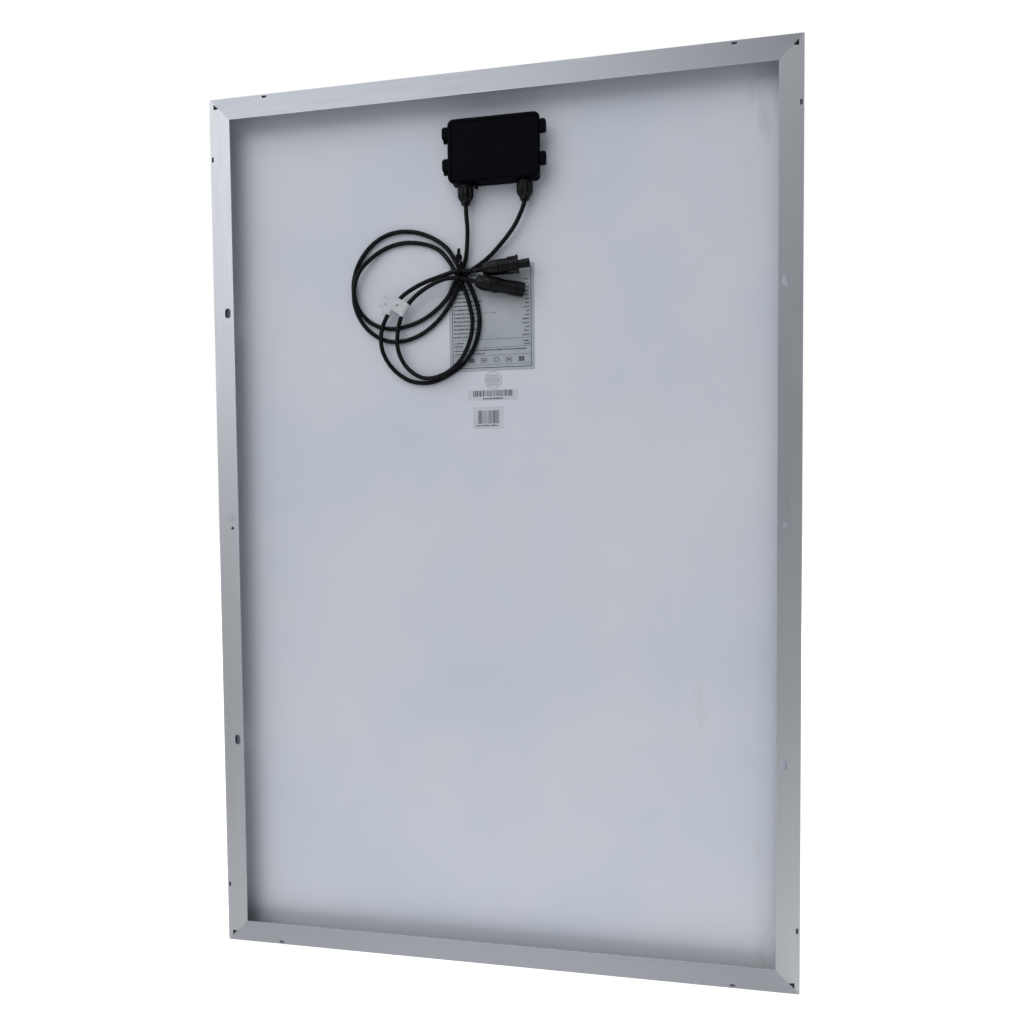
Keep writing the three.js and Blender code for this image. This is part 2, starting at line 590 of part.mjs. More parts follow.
function alongAxis(from, to, distance) {
  const [a, b] = [new THREE.Vector3(...from), new THREE.Vector3(...to)];
  return a.lerp(b, distance / a.distanceTo(b));
}

function cableCurve(name) {
  const { rear, tip } = { cable_left: CONNECTORS.socket, cable_right: CONNECTORS.plug }[name];
  const points = CABLE_ROUTES[name].map((point) => new THREE.Vector3(...point));
  points.push(alongAxis(rear, tip, -CABLE.lead), alongAxis(rear, tip, -CABLE.gap));
  return new THREE.CatmullRomCurve3(points);
}

// The part of a curve between two distances along it.
class Stretch extends THREE.Curve {
  constructor(curve, from, to) {
    super();
    Object.assign(this, { curve, from, to, whole: curve.getLength() });
  }

  getPoint(t, target = new THREE.Vector3()) {
    return this.curve.getPointAt((this.from + (this.to - this.from) * t) / this.whole, target);
  }
}

function tube(curve, diameter, sides, steps) {
  return solid(new THREE.ExtrudeGeometry(polygonOutline(diameter, sides), {
    extrudePath: curve, steps, bevelEnabled: false,
  }));
}

function makeCables() {
  for (const name of Object.keys(CABLE_ROUTES)) {
    add(name, tube(cableCurve(name), CABLE.diameter, CABLE.sides, CABLE_STEPS), cableBlack);
  }
}

function makeTie() {
  const [deep, tall] = TIE.inner;
  const grow = 2 * TIE.band;
  const ring = (width, height, radius, length) => {
    const geometry = new THREE.ExtrudeGeometry(roundedOutline(0, 0, width, height, radius), {
      depth: length, bevelEnabled: false, curveSegments: 4,
    });
    geometry.translate(0, 0, -length / 2);
    return solid(geometry);
  };
  const head = block(-deep / 2 + 1, deep / 2 - 9, tall / 2, tall / 2 + 4.4, -3, 3);
  const tail = block(-deep / 2 + 2.6, -deep / 2 + 4, tall / 2, tall / 2 + TIE.tail, -1.8, 1.8);
  const tie = ring(deep + grow, tall + grow, 4, TIE.width).add(head).add(tail)
    .subtract(ring(deep, tall, 3, TIE.width + 4));
  const mesh = add('cable_tie', tie, rubber);
  // Local X is the module's depth, local Y its height and local Z runs along the bundle.
  mesh.quaternion.setFromRotationMatrix(new THREE.Matrix4().makeBasis(
    new THREE.Vector3(0, 1, 0), new THREE.Vector3(0, 0, 1), new THREE.Vector3(1, 0, 0)));
  mesh.position.set(TIE.x, TIE.y, TIE.z);
}

// A film tag folded round its cable, with the two ends stuck together as a flag.
function makeTags() {
  const depth = new THREE.Vector3(0, 1, 0);
  for (const [name, { cable, at, flag }] of Object.entries(TAGS)) {
    const curve = cableCurve(cable);
    const half = TAG.length / 2;
    const wrap = tube(new Stretch(curve, at - half, at + half), TAG.outside, 8, 6);
    const bore = tube(new Stretch(curve, at - half - 2, at + half + 2), TAG.bore, 8, 7);
    const along = curve.getTangentAt(at / curve.getLength());
    const outward = along.clone().cross(depth).normalize();
    const turn = new THREE.Matrix4().makeBasis(along, outward.clone().cross(along), outward)
      .setPosition(curve.getPointAt(at / curve.getLength()));
    const [reach, thick] = [TAG.outside / 2 + flag, TAG.flagThickness / 2];
    const leaf = block(-half + 1, half - 1, -thick, thick, 1, reach).transform(turn.toArray());
    add(name, wrap.add(leaf).subtract(bore), tagFilm);
  }
}

// A coupler's parts are made along +Z from the back face of its nut.
function couplerGroup({ rear, tip }) {
  const group = new THREE.Group();
  const axis = new THREE.Vector3(...tip).sub(new THREE.Vector3(...rear)).normalize();
  group.quaternion.setFromUnitVectors(new THREE.Vector3(0, 0, 1), axis);
  group.position.set(...rear);
  module.add(group);
  return group;
}

function couplerNut(kind, group) {
  const nut = ribbedBarrel(COUPLER.nut, 0.9, COUPLER.nutLength, COUPLER.nutSlots, 9, 10)
    .subtract(cylinder(COUPLER.neck + 0.6, 8, COUPLER.nutLength + 1, 20))
    .subtract(cylinder(CABLE.diameter + 0.8, -1, COUPLER.nutLength, 12));
  add(`connector_${kind}_nut`, nut, boxPlastic, group);
}

function makeConnectors() {
  const start = COUPLER.nutLength + CABLE.gap;
  const [neck, body] = [COUPLER.neck / 2, COUPLER.body / 2];

  const socket = CONNECTORS.socket;
  const socketLength = new THREE.Vector3(...socket.tip).distanceTo(new THREE.Vector3(...socket.rear));
  const socketGroup = couplerGroup(socket);
  couplerNut('socket', socketGroup);
  const step = socketLength - socket.noseLength;
  const nose = socket.nose / 2;
  const socketBody = turned([
    [0, 9], [neck, 9], [neck, start], [body, start], [body, start + 9],
    [body - 1, start + 10], [body - 1, step - 6], [body, step - 5], [body, step - 1.5],
    [body - 1.2, step], [nose, step], [nose, socketLength], [0, socketLength],
  ]).subtract(cylinder(COUPLER.pin + 1.4, 0, socketLength + 1, 16));
  add('connector_socket_body', socketBody, boxPlastic, socketGroup);
  const sleeve = cylinder(COUPLER.pin + 0.8, 24, socketLength - 2, 12)
    .subtract(cylinder(COUPLER.pin - 0.8, 34, socketLength, 12));
  add('connector_socket_contact', sleeve, tinned, socketGroup);

  const plug = CONNECTORS.plug;
  const plugLength = new THREE.Vector3(...plug.tip).distanceTo(new THREE.Vector3(...plug.rear));
  const plugGroup = couplerGroup(plug);
  couplerNut('plug', plugGroup);
  const mouth = plug.nose / 2;
  const ring = plugLength - plug.noseLength;
  let plugBody = turned([
    [0, 9], [neck, 9], [neck, start], [body, start], [body, start + 7],
    [mouth, start + 11], [mouth - 0.6, ring], [mouth, ring], [mouth, plugLength], [0, plugLength],
  ]).subtract(cylinder(COUPLER.pin + 0.8, 0, plugLength + 1, 16))
    .subtract(cylinder(COUPLER.bore, plugLength - 16, plugLength + 1, 20));
  // Two latch prongs, freed by slots on both sides.
  for (const way of [-1, 1]) {
    plugBody = plugBody.subtract(block(way * 3.6 - 0.6, way * 3.6 + 0.6, -12, 12,
      plugLength - 12, plugLength + 1));
  }
  add('connector_plug_body', plugBody, boxPlastic, plugGroup);
  const pin = turned([
    [0, 24], [COUPLER.pin / 2, 24], [COUPLER.pin / 2, plugLength - 11],
    [1.2, plugLength - 9], [0, plugLength - 9],
  ], 12);
  add('connector_plug_contact', pin, tinned, plugGroup);
}

// ---- labels ----

function makeLabels() {
  const y1 = SHEET_BACK - 0.02;
  const y0 = y1 - LABEL_THICKNESS;
  for (const [name, label] of Object.entries(LABELS)) {
    const outline = roundedOutline(label.x, label.z, label.width, label.height, 1);
    add(name, slab(outline, y0, y1, 2), paint(label.colour, 0.4));
  }
  add('inspection_sticker', slab(circleOutline(STICKER.x, STICKER.z, STICKER.diameter), y0, y1, 24),
    tagFilm);
}

makeFrame();
makeCornerKeys();
makeSealant();
makeSheets();
makeCellStrings();
makeBusRibbons();
makeBoxBase();
makeLid();
makeBoxInside();
makeGlands();
makeCables();
makeTie();
makeTags();
makeConnectors();
makeLabels();

export default module;
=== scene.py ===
"""Looks for a framed solar module standing on its short edge, seen from behind.

Metres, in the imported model's frame: +Z up, the back faces -Y, the glass faces +Y and
X runs to the right when the module is seen from behind.
"""

import json
import math
import random

import bmesh
import bpy
from mathutils import Matrix, Vector


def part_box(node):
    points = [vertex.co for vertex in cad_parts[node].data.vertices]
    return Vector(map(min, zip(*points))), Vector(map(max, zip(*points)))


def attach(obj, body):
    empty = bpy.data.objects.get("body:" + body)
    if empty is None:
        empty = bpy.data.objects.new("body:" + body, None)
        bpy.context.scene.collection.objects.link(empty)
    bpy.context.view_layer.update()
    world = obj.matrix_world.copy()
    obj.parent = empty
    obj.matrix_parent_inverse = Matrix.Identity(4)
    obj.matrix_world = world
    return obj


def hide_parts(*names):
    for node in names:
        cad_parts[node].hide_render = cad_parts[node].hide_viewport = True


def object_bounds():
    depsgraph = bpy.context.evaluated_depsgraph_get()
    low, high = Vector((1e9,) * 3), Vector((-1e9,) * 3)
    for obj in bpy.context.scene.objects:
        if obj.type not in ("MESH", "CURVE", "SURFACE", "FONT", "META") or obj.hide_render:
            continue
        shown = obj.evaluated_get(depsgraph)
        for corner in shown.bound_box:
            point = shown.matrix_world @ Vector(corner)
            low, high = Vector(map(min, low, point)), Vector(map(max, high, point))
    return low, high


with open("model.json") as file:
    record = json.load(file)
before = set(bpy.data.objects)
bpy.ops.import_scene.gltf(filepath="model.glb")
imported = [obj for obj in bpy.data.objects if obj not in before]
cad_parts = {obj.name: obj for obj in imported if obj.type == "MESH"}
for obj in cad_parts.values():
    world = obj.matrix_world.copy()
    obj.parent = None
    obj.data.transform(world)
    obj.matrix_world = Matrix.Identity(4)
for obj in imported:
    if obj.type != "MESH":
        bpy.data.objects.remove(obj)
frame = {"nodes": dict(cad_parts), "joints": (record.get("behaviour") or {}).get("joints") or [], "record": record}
NODES = frame["nodes"]
JOINTS = {joint["name"]: joint for joint in frame["joints"]}
CAD_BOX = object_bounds()

MODULE = "module"
CENTRE = (CAD_BOX[0] + CAD_BOX[1]) / 2
HEIGHT = CAD_BOX[1].z - CAD_BOX[0].z

# Cell layout, as in the part: four columns of nine cut cells, their fingers and their ribbons.
CELL_PITCH_X = 0.1585
CELL_PITCH_Z = 0.1065
FINGER_PITCH = 0.0022
TAB = {"offset": 0.039, "half_width": 0.0008, "height": 0.00012, "gap": 0.00002}

# Output cables: the points of the part's own routes, in millimetres.
CABLE_DIAMETER = 0.005
CABLE_LEAD = 0.01
CABLE_IN_GLAND = 0.012
CABLE_IN_NUT = 0.007
CONNECTOR_OF = {"cable_left": "connector_socket", "cable_right": "connector_plug"}
CABLE_ROUTES = {
    "cable_left": [
        (-27.4, -1.7, 877.2), (-26.8, -1.7, 864), (-26, -0.5, 850), (-28, 2.8, 826),
        (-30.5, 3.7, 814.5), (-44, 4.4, 789.5), (-51.5, 5.3, 776.5), (-63, 5.3, 764.5),
        (-79, 5.3, 753.5), (-99, 5.3, 746), (-121, 5.3, 743.5), (-142, 5.3, 750),
        (-157, 5.3, 764), (-165, 5.3, 783), (-165, 5.3, 804), (-156, 5.3, 826.5),
        (-138, 5.3, 845.5), (-116, 5.3, 854.5), (-91.5, 5.3, 854), (-69, 4.6, 845.5),
        (-50.5, 1.6, 831), (-35, -1.6, 806), (-27.5, -1, 794.5), (-16, 4.8, 763),
        (-14.5, 5.3, 743), (-19, 5.3, 722), (-31, 5.3, 702), (-50, 5.3, 687.5), (-73, 5.3, 679),
        (-97, 4.5, 681.5), (-117, 1.5, 695.5), (-129, -0.6, 716), (-130.5, -0.6, 738),
        (-121.5, -0.6, 760), (-105, -0.6, 778.5), (-83, -1.2, 791), (-60.5, -2.6, 798),
        (-37, -7.3, 802),
    ],
    "cable_right": [
        (40.5, -1.7, 877.2), (35.5, -1.4, 864), (25.5, 0, 847), (-2.5, 3.4, 818.5),
        (-30, 3.9, 799.8), (-36.5, 3.9, 791), (-41.5, 4.6, 781), (-49, 5.3, 768),
        (-62.5, 5.3, 751), (-82.5, 5.3, 736), (-105.5, 5.3, 728.5), (-128, 5.3, 730.5),
        (-148.5, 3, 744), (-161, -0.4, 766), (-163.5, -0.4, 788.5), (-157.5, -0.4, 809),
        (-144.5, 3, 825), (-126, 5.3, 837), (-105, 5.3, 842), (-82, 5.3, 840), (-62, 4, 831.5),
        (-48.5, 0.4, 816.5), (-40.8, -1.6, 803), (-34, -1.6, 791.5), (-26.5, -0.9, 772),
        (-21.5, -0.4, 746), (-25.5, -0.4, 722), (-37, -0.4, 701), (-57, -0.4, 686.5),
        (-79.5, -0.4, 683.5), (-99, -0.4, 695.5), (-110.5, -0.4, 717.5), (-109.5, -0.4, 744.5),
        (-101.5, -1.4, 763.5), (-86.5, -5, 778), (-66, -8, 789), (-48, -7.6, 794.6), (-33, -7.2, 793.7),
    ],
}

CORNER_STEPS = 8
SHARP_ANGLE = math.radians(35)
SQUARE = ((-1, -1), (1, -1), (1, 1), (-1, 1))


# ---- meshes ----

def new_piece(name, data):
    """A named object in the scene."""
    piece = bpy.data.objects.new(name, data)
    bpy.context.scene.collection.objects.link(piece)
    return piece


def finished(name, mesh):
    """Turns a bmesh of closed bodies into a named piece."""
    bmesh.ops.recalc_face_normals(mesh, faces=mesh.faces)
    data = bpy.data.meshes.new(name)
    mesh.to_mesh(data)
    mesh.free()
    return new_piece(name, data)


def prism(mesh, near, far):
    """Adds a closed body between two outlines to a bmesh."""
    rows = [[mesh.verts.new(point) for point in outline] for outline in (near, far)]
    mesh.faces.new(rows[0])
    mesh.faces.new(rows[1][::-1])
    for i, _ in enumerate(near):
        j = (i + 1) % len(near)
        mesh.faces.new((rows[0][i], rows[0][j], rows[1][j], rows[1][i]))


def skin(name, loops, ring=False):
    """A closed body through loops of points. With ring the last loop joins the first one."""
    mesh = bmesh.new()
    rows = [[mesh.verts.new(point) for point in loop] for loop in loops]
    pairs = list(zip(rows, rows[1:]))
    if ring:
        pairs.append((rows[-1], rows[0]))
    else:
        mesh.faces.new(rows[0][::-1])
        mesh.faces.new(rows[-1])
    count = len(rows[0])
    for near, far in pairs:
        for i in range(count):
            j = (i + 1) % count
            mesh.faces.new((near[i], near[j], far[j], far[i]))
    return finished(name, mesh)


def rounded(x, z, width, height, radius, y):
    """A rounded rectangle in X and Z, as a loop of points at depth y."""
    loop = []
    for corner, (sx, sz) in enumerate([(1, 1), (-1, 1), (-1, -1), (1, -1)]):
        middle_x = x + sx * (width / 2 - radius)
        middle_z = z + sz * (height / 2 - radius)
        for i in range(CORNER_STEPS + 1):
            angle = (corner + i / CORNER_STEPS) * math.pi / 2
            loop.append(Vector((
                middle_x + radius * math.cos(angle), y, middle_z + radius * math.sin(angle))))
    return loop


def slab(name, x, z, width, height, radius, y0, y1, fillet=0.0):
    """A rounded plate between two depths, with its edges rounded off by fillet."""
    quarter = [0, 0.3, 0.7, 1] if fillet else [1]
    levels = [(part, y0, 1) for part in quarter] + [(part, y1, -1) for part in quarter[::-1]]
    loops = []
    for part, face, way in levels:
        angle = part * math.pi / 2
        inset = fillet * (1 - math.sin(angle))
        y = face + way * fillet * (1 - math.cos(angle))
        loops.append(rounded(x, z, width - 2 * inset, height - 2 * inset, radius - inset, y))
    return skin(name, loops)


def block(name, low, high):
    """A block between two corners, to be joined to or cut from another body."""
    (x0, y0, z0), (x1, y1, z1) = low, high
    loops = [[Vector(p) for p in ((x0, y, z0), (x1, y, z0), (x1, y, z1), (x0, y, z1))]
             for y in (y0, y1)]
    return skin(name, loops)


def circle(radius, height, steps, groove=None):
    """A loop about Z, set in by the groove's depth at each angle and height."""
    loop = []
    for i in range(steps):
        angle = 2 * math.pi * i / steps
        r = radius - (groove(angle, height) if groove else 0)
        loop.append(Vector((r * math.cos(angle), r * math.sin(angle), height)))
    return loop


def turned(name, profile, steps=64):
    """A body turned about Z. The profile lists (radius, height)."""
    return skin(name, [circle(radius, height, steps) for radius, height in profile])


def settle(piece):
    """Turns what the modifiers make into the piece's own mesh."""
    graph = bpy.context.evaluated_depsgraph_get()
    made = bpy.data.meshes.new_from_object(piece.evaluated_get(graph))
    piece.modifiers.clear()
    piece.data = made
    return piece


def combine(piece, tools, operation):
    """Joins the tools to a piece, or cuts them from it, and removes them."""
    for tool in tools:
        change = piece.modifiers.new(operation, "BOOLEAN")
        change.operation = operation
        change.object = tool
        change.solver = "EXACT"
    settle(piece)
    for tool in tools:
        bpy.data.objects.remove(tool)
    return piece


def move(piece, matrix):
    """Moves a piece's points, and leaves its origin."""
    piece.data.transform(matrix)
    return piece


def shift(piece, *by):
    """Moves a piece's points along X, Y and Z."""
    return move(piece, Matrix.Translation(by))


def peg(radius, low, high, steps, place=(0, 0, 0)):
    """A round body about Z between two heights, moved to its place."""
    return shift(turned("peg", [(radius, low), (radius, high)], steps), *place)


def soften(piece, width, segments=2):
    """Rounds the sharp edges and shades the rest smooth."""
    piece.data.shade_smooth()
    piece.data.set_sharp_from_angle(angle=SHARP_ANGLE)
    edge = piece.modifiers.new("rounded_edges", "BEVEL")
    edge.width = width
    edge.segments = segments
    edge.limit_method = "ANGLE"
    edge.angle_limit = SHARP_ANGLE
    edge.harden_normals = True
    return piece


def dress(piece, body, slot, finish, *replaced):
    """Gives a piece its body, its finish and the CAD nodes that it stands for."""
    piece.data.materials.clear()
    piece.data.materials.append(MATERIALS[finish])
    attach(piece, body)
    if replaced:
        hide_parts(*replaced)
    return piece


# ---- materials ----

def add_node(tree, kind, inputs=(), **settings):
    """A shader node with its settings, and its inputs set or linked."""
    node = tree.nodes.new("ShaderNode" + kind)
    for name, value in settings.items():
        setattr(node, name, value)
    for key, value in dict(inputs).items():
        if isinstance(value, bpy.types.NodeSocket):
            tree.links.new(value, node.inputs[key])
        else:
            node.inputs[key].default_value = value
    return node


class Finish:
    """One procedural material: a Principled shader and the nodes that vary it."""

    def __init__(self, name, **constants):
        self.material = bpy.data.materials.new(name)
        self.material.use_nodes = True
        self.tree = self.material.node_tree
        self.shader = self.tree.nodes["Principled BSDF"]
        self.place = self.add("TexCoord").outputs["Object"]
        self.normal = None
        for socket, value in constants.items():
            self.shader.inputs[socket.replace("_", " ")].default_value = value

    def add(self, kind, inputs=(), **settings):
        return add_node(self.tree, kind, inputs, **settings)

    def axes(self):
        return self.add("SeparateXYZ", {"Vector": self.place}).outputs

    def sum(self, operation, *values):
        return self.add("Math", dict(enumerate(values)), operation=operation).outputs[0]

    def scaled(self, size, stretch=(1, 1, 1)):
        scale = [1 / (size * share) for share in stretch]
        return self.add("Mapping", {"Vector": self.place, "Scale": scale}).outputs[0]

    def noise(self, size, stretch=(1, 1, 1), detail=2.0):
        """Noise in lumps of about that size, drawn out along each axis by stretch."""
        place = self.scaled(size, stretch)
        return self.add("TexNoise", {"Vector": place, "Scale": 1.0, "Detail": detail}).outputs[0]

    def between(self, factor, low, high, start=0.0, end=1.0):
        """A value or a colour from low to high as the factor goes from start to end."""
        limits = {"Value": factor, "From Min": start, "From Max": end}
        if isinstance(low, (int, float)):
            return self.add("MapRange", {**limits, "To Min": low, "To Max": high}).outputs[0]
        part = self.add("MapRange", limits).outputs[0]
        colours = [c if isinstance(c, bpy.types.NodeSocket) else (*c, 1) for c in (low, high)]
        inputs = {0: part, 6: colours[0], 7: colours[1]}
        return self.add("Mix", inputs, data_type="RGBA").outputs[2]

    def drive(self, socket, value):
        self.tree.links.new(value, self.shader.inputs[socket])

    def bump(self, height, depth, strength=1.0):
        """Raises the surface by up to depth where height is 1."""
        inputs = {"Height": height, "Distance": depth, "Strength": strength}
        if self.normal:
            inputs["Normal"] = self.normal
        self.normal = self.add("Bump", inputs).outputs[0]
        self.drive("Normal", self.normal)

    def edges(self, reach):
        """1 at the sharp edges and 0 on the flats."""
        rounded_normal = self.add("Bevel", {"Radius": reach}, samples=4).outputs[0]
        flat_normal = self.add("NewGeometry").outputs["Normal"]
        alike = self.add("VectorMath", {0: rounded_normal, 1: flat_normal},
                         operation="DOT_PRODUCT").outputs["Value"]
        return self.between(alike, 1.0, 0.0, 0.9, 0.995)


def aluminium(name, along, dark, light):
    """Anodised extrusion: fine die lines along the member, soft blotches and bare edges."""
    def drawn(length):
        return [length if axis == along else 1 for axis in "xyz"]

    finish = Finish(name, Metallic=1.0)
    blotch = finish.noise(0.06, drawn(60), 3)
    die = finish.noise(0.0006, drawn(120), 2)
    base = finish.between(blotch, dark, light, 0.3, 0.7)
    worn = finish.between(finish.edges(0.0006), base, (0.9, 0.9, 0.9))
    finish.drive("Base Color", worn)
    finish.drive("Roughness", finish.between(die, 0.36, 0.5, 0.3, 0.7))
    finish.bump(die, 0.00002, 0.6)
    scuffs = finish.noise(0.004, drawn(8), 5)
    finish.bump(finish.between(scuffs, 1.0, 0.0, 0.28, 0.34), 0.00002, 0.4)
    return finish.material


def grained(name, size, detail, colours, roughness, depth, strength=1.0, spread=(0.0, 1.0),
            **constants):
    """A finish whose colour, roughness and relief follow one noise in lumps of that size."""
    finish = Finish(name, **constants)
    grain = finish.noise(size, detail=detail)
    finish.drive("Base Color", finish.between(grain, *colours, *spread))
    finish.drive("Roughness", finish.between(grain, *roughness))
    finish.bump(grain, depth, strength)
    return finish.material


def backsheet():
    """White laminated film with a faint print-through of the cells, a darker, warmer band low down and smears."""
    finish = Finish("backsheet_film", Coat_Weight=0.15, Coat_Roughness=0.35)
    x, _, z = finish.axes()[:3]
    tone = finish.noise(0.22, detail=3)
    base = finish.between(tone, (0.73, 0.775, 0.85), (0.79, 0.815, 0.875), 0.35, 0.65)
    # Darker and warmer towards the bottom edge, broken up by noise.
    low = finish.between(z, 1.0, 0.0, 0.008, 0.034)
    low_band = finish.sum("MULTIPLY", low, finish.between(finish.noise(0.03, (3, 1, 1), 4), 0.5, 1.0))
    banded = finish.between(low_band, base, (0.72, 0.715, 0.71))
    smear = finish.between(finish.noise(0.035, (1, 1, 2.5), 6), 0.0, 1.0, 0.63, 0.72)
    right = finish.between(x, 0.0, 0.5, 0.16, 0.3)
    stained = finish.between(finish.sum("MULTIPLY", smear, right), banded, (0.6, 0.595, 0.6))
    finish.drive("Base Color", stained)
    finish.drive("Roughness", finish.between(tone, 0.5, 0.62))
    finish.bump(finish.noise(0.0011, detail=2), 0.00003, 0.5)
    finish.bump(finish.noise(0.03, detail=2), 0.0004, 0.25)
    rows_from = HEIGHT / 2 + CELL_PITCH_Z / 2
    for position, pitch, offset in ((x, CELL_PITCH_X, 0.0), (z, CELL_PITCH_Z, rows_from)):
        shifted = finish.sum("SUBTRACT", position, offset)
        away = finish.sum("PINGPONG", shifted, pitch / 2)
        groove = finish.between(away, 1.0, 0.0, 0.0012, 0.0028)
        finish.bump(groove, 0.00004, 0.35)
    return finish.material


def moulded(name, dark, light, roughness, grain=0.0005, shine=0.035):
    """Sandblasted black plastic: fine grain, slight blotches and paler edges, partly wear and partly a painted
    edge highlight.
    """
    finish = Finish(name, Specular_IOR_Level=shine)
    spark = finish.noise(grain, detail=3)
    blotch = finish.noise(0.012, detail=3)
    base = finish.between(blotch, dark, light, 0.35, 0.65)
    # Paler edges: partly wear, partly a painted edge highlight.
    finish.drive("Base Color", finish.between(finish.edges(0.0004), base, (0.009, 0.0095, 0.012)))
    finish.drive("Roughness", finish.between(spark, roughness - 0.08, roughness + 0.08))
    finish.bump(spark, 0.00004, 0.6)
    return finish.material


def jacket():
    """Cable jacket: matt black with a fine grain, faint blotches and handling marks."""
    finish = Finish("cable_jacket", Specular_IOR_Level=0.2)
    grain = finish.noise(0.0007, detail=4)
    blotch = finish.noise(0.006, detail=4)
    finish.drive("Base Color", finish.between(
        blotch, (0.0018, 0.002, 0.0032), (0.0065, 0.007, 0.009), 0.45, 0.75))
    scuff = finish.noise(0.0022, detail=3)
    finish.drive("Roughness", finish.between(scuff, 0.28, 0.8, 0.42, 0.56))
    finish.bump(grain, 0.00006, 0.7)
    finish.bump(scuff, 0.00012, 0.6)
    return finish.material


def solar_glass():
    """Low-iron glass with a fine rolled pattern, clear enough to show the cells."""
    finish = Finish("solar_glass", IOR=1.5, Alpha=0.12, Coat_Weight=0.6, Coat_Roughness=0.06)
    rolled = finish.noise(0.0012, detail=1)
    dust = finish.noise(0.08, detail=4)
    finish.drive("Base Color", finish.between(dust, (0.03, 0.05, 0.05), (0.08, 0.1, 0.1)))
    finish.drive("Roughness", finish.between(dust, 0.08, 0.16, 0.4, 0.7))
    finish.bump(rolled, 0.00002, 0.4)
    return finish.material


def clear_film(name, alpha, tint, rough):
    """Clear or milky film with fine crinkles."""
    paler = [min(1, c * 1.06) for c in tint]
    return grained(name, 0.004, 3, (tint, paler), (rough, rough + 0.12), 0.0002, 0.4, Alpha=alpha)


def cells():
    """Polycrystalline silicon: blue grains under an even coat, with printed silver fingers."""
    finish = Finish("polycrystalline_cells", Metallic=0.25, Coat_Weight=0.7, Coat_Roughness=0.08)
    grains = finish.add("TexVoronoi", {"Vector": finish.scaled(0.011, (1, 4, 1.3)), "Scale": 1.0})
    shade = finish.add("SeparateColor", {"Color": grains.outputs["Color"]}).outputs[0]
    blue = finish.between(shade, (0.006, 0.015, 0.055), (0.02, 0.05, 0.14))
    drift = finish.noise(0.14, detail=2)
    coat = finish.between(drift, blue, (0.012, 0.022, 0.075), 0.4, 0.8)
    z = finish.axes()[2]
    wrapped = finish.sum("PINGPONG", z, FINGER_PITCH / 2)
    finger = finish.between(wrapped, 1.0, 0.0, 0.00005, 0.0001)
    finish.drive("Base Color", finish.between(finger, coat, (0.42, 0.45, 0.5)))
    finish.drive("Roughness", finish.between(shade, 0.28, 0.45))
    finish.bump(finger, 0.00002, 0.4)
    return finish.material


def sticker_paper(name, low, high, rough, metallic=0.0):
    """Printed label stock: fine brushed fibres and a slight sheen."""
    finish = Finish(name, Metallic=metallic)
    fibre = finish.noise(0.0008, (6, 1, 1), 3)
    cloud = finish.noise(0.03, detail=2)
    finish.drive("Base Color", finish.between(cloud, low, high, 0.3, 0.7))
    finish.drive("Roughness", finish.between(fibre, rough, rough + 0.12))
    finish.bump(fibre, 0.00002, 0.5)
    return finish.material


def ink(name, colour):
    """Print that is a little uneven."""
    paler = [c * 1.8 for c in colour]
    return grained(name, 0.001, 3, (colour, paler), (0.45, 0.6), 0.00001, 0.3, (0.4, 0.7))


MATERIALS = {
    "aluminium_upright": aluminium(
        "aluminium_upright", "z", (0.54, 0.55, 0.575), (0.62, 0.63, 0.65)),
    # The top and bottom members take a darker copy of the same aluminium: painted shade for how the light falls on
    # them.
    "aluminium_crossing_painted_shade": aluminium(
        "aluminium_crossing_painted_shade", "x", (0.43, 0.445, 0.475), (0.49, 0.505, 0.53)),
    "corner_key": grained("die_cast_key", 0.001, 4, ((0.35, 0.36, 0.38), (0.5, 0.51, 0.53)),
                          (0.45, 0.65), 0.0001, Metallic=1.0),
    "tinned_copper": grained("tinned_copper", 0.0015, 4, ((0.45, 0.45, 0.44), (0.56, 0.56, 0.55)),
                             (0.36, 0.51), 0.00004, 1.0, (0.3, 0.7), Metallic=1.0),
    "silicone": grained("silicone_bead", 0.006, 3, ((0.66, 0.66, 0.64), (0.76, 0.76, 0.74)),
                        (0.35, 0.5), 0.0003, Subsurface_Weight=0.1),
    "front_glass": solar_glass(),
    "front_encapsulant": clear_film("front_film", 0.04, (0.12, 0.12, 0.12), 0.4),
    "rear_encapsulant": grained("rear_film", 0.01, 3, ((0.74, 0.75, 0.75), (0.8, 0.81, 0.81)),
                                (0.4, 0.55), 0.00005),
    "solar_cells": cells(),
    "backsheet": backsheet(),
    "black_polymer": moulded(
        "black_polymer", (0.0012, 0.0016, 0.003), (0.0022, 0.0026, 0.0046), 0.42),
    "glossy_polymer": moulded(
        "glossy_polymer", (0.0014, 0.0016, 0.0024), (0.003, 0.003, 0.004), 0.3, shine=0.22),
    "seal_rubber": grained("seal_rubber", 0.0008, 4, ((0.012, 0.012, 0.013), (0.03, 0.03, 0.031)),
                           (0.7, 0.9), 0.00008),
    "diode_epoxy": grained("diode_epoxy", 0.0006, 3, ((0.012, 0.012, 0.012), (0.03, 0.03, 0.03)),
                           (0.35, 0.5), 0.00004),
    "cable_jacket": jacket(),
    "tie_nylon": moulded("tie_nylon", (0.003, 0.003, 0.004), (0.006, 0.006, 0.008), 0.38, 0.0009),
    "clear_film": clear_film("tag_film", 0.86, (0.7, 0.715, 0.74), 0.22),
    "sticker_film": clear_film("sticker_film", 0.3, (0.9, 0.91, 0.94), 0.3),
    "silver_label": sticker_paper(
        "silver_label", (0.42, 0.46, 0.49), (0.5, 0.54, 0.57), 0.4, 0.1),
    "white_label": sticker_paper("white_label", (0.62, 0.65, 0.7), (0.7, 0.72, 0.76), 0.5),
    "ink": ink("print_ink", (0.022, 0.024, 0.034)),
    "pale_ink": ink("pale_ink", (0.28, 0.28, 0.33)),
    "grey_ink": ink("grey_ink", (0.05, 0.05, 0.065)),
}


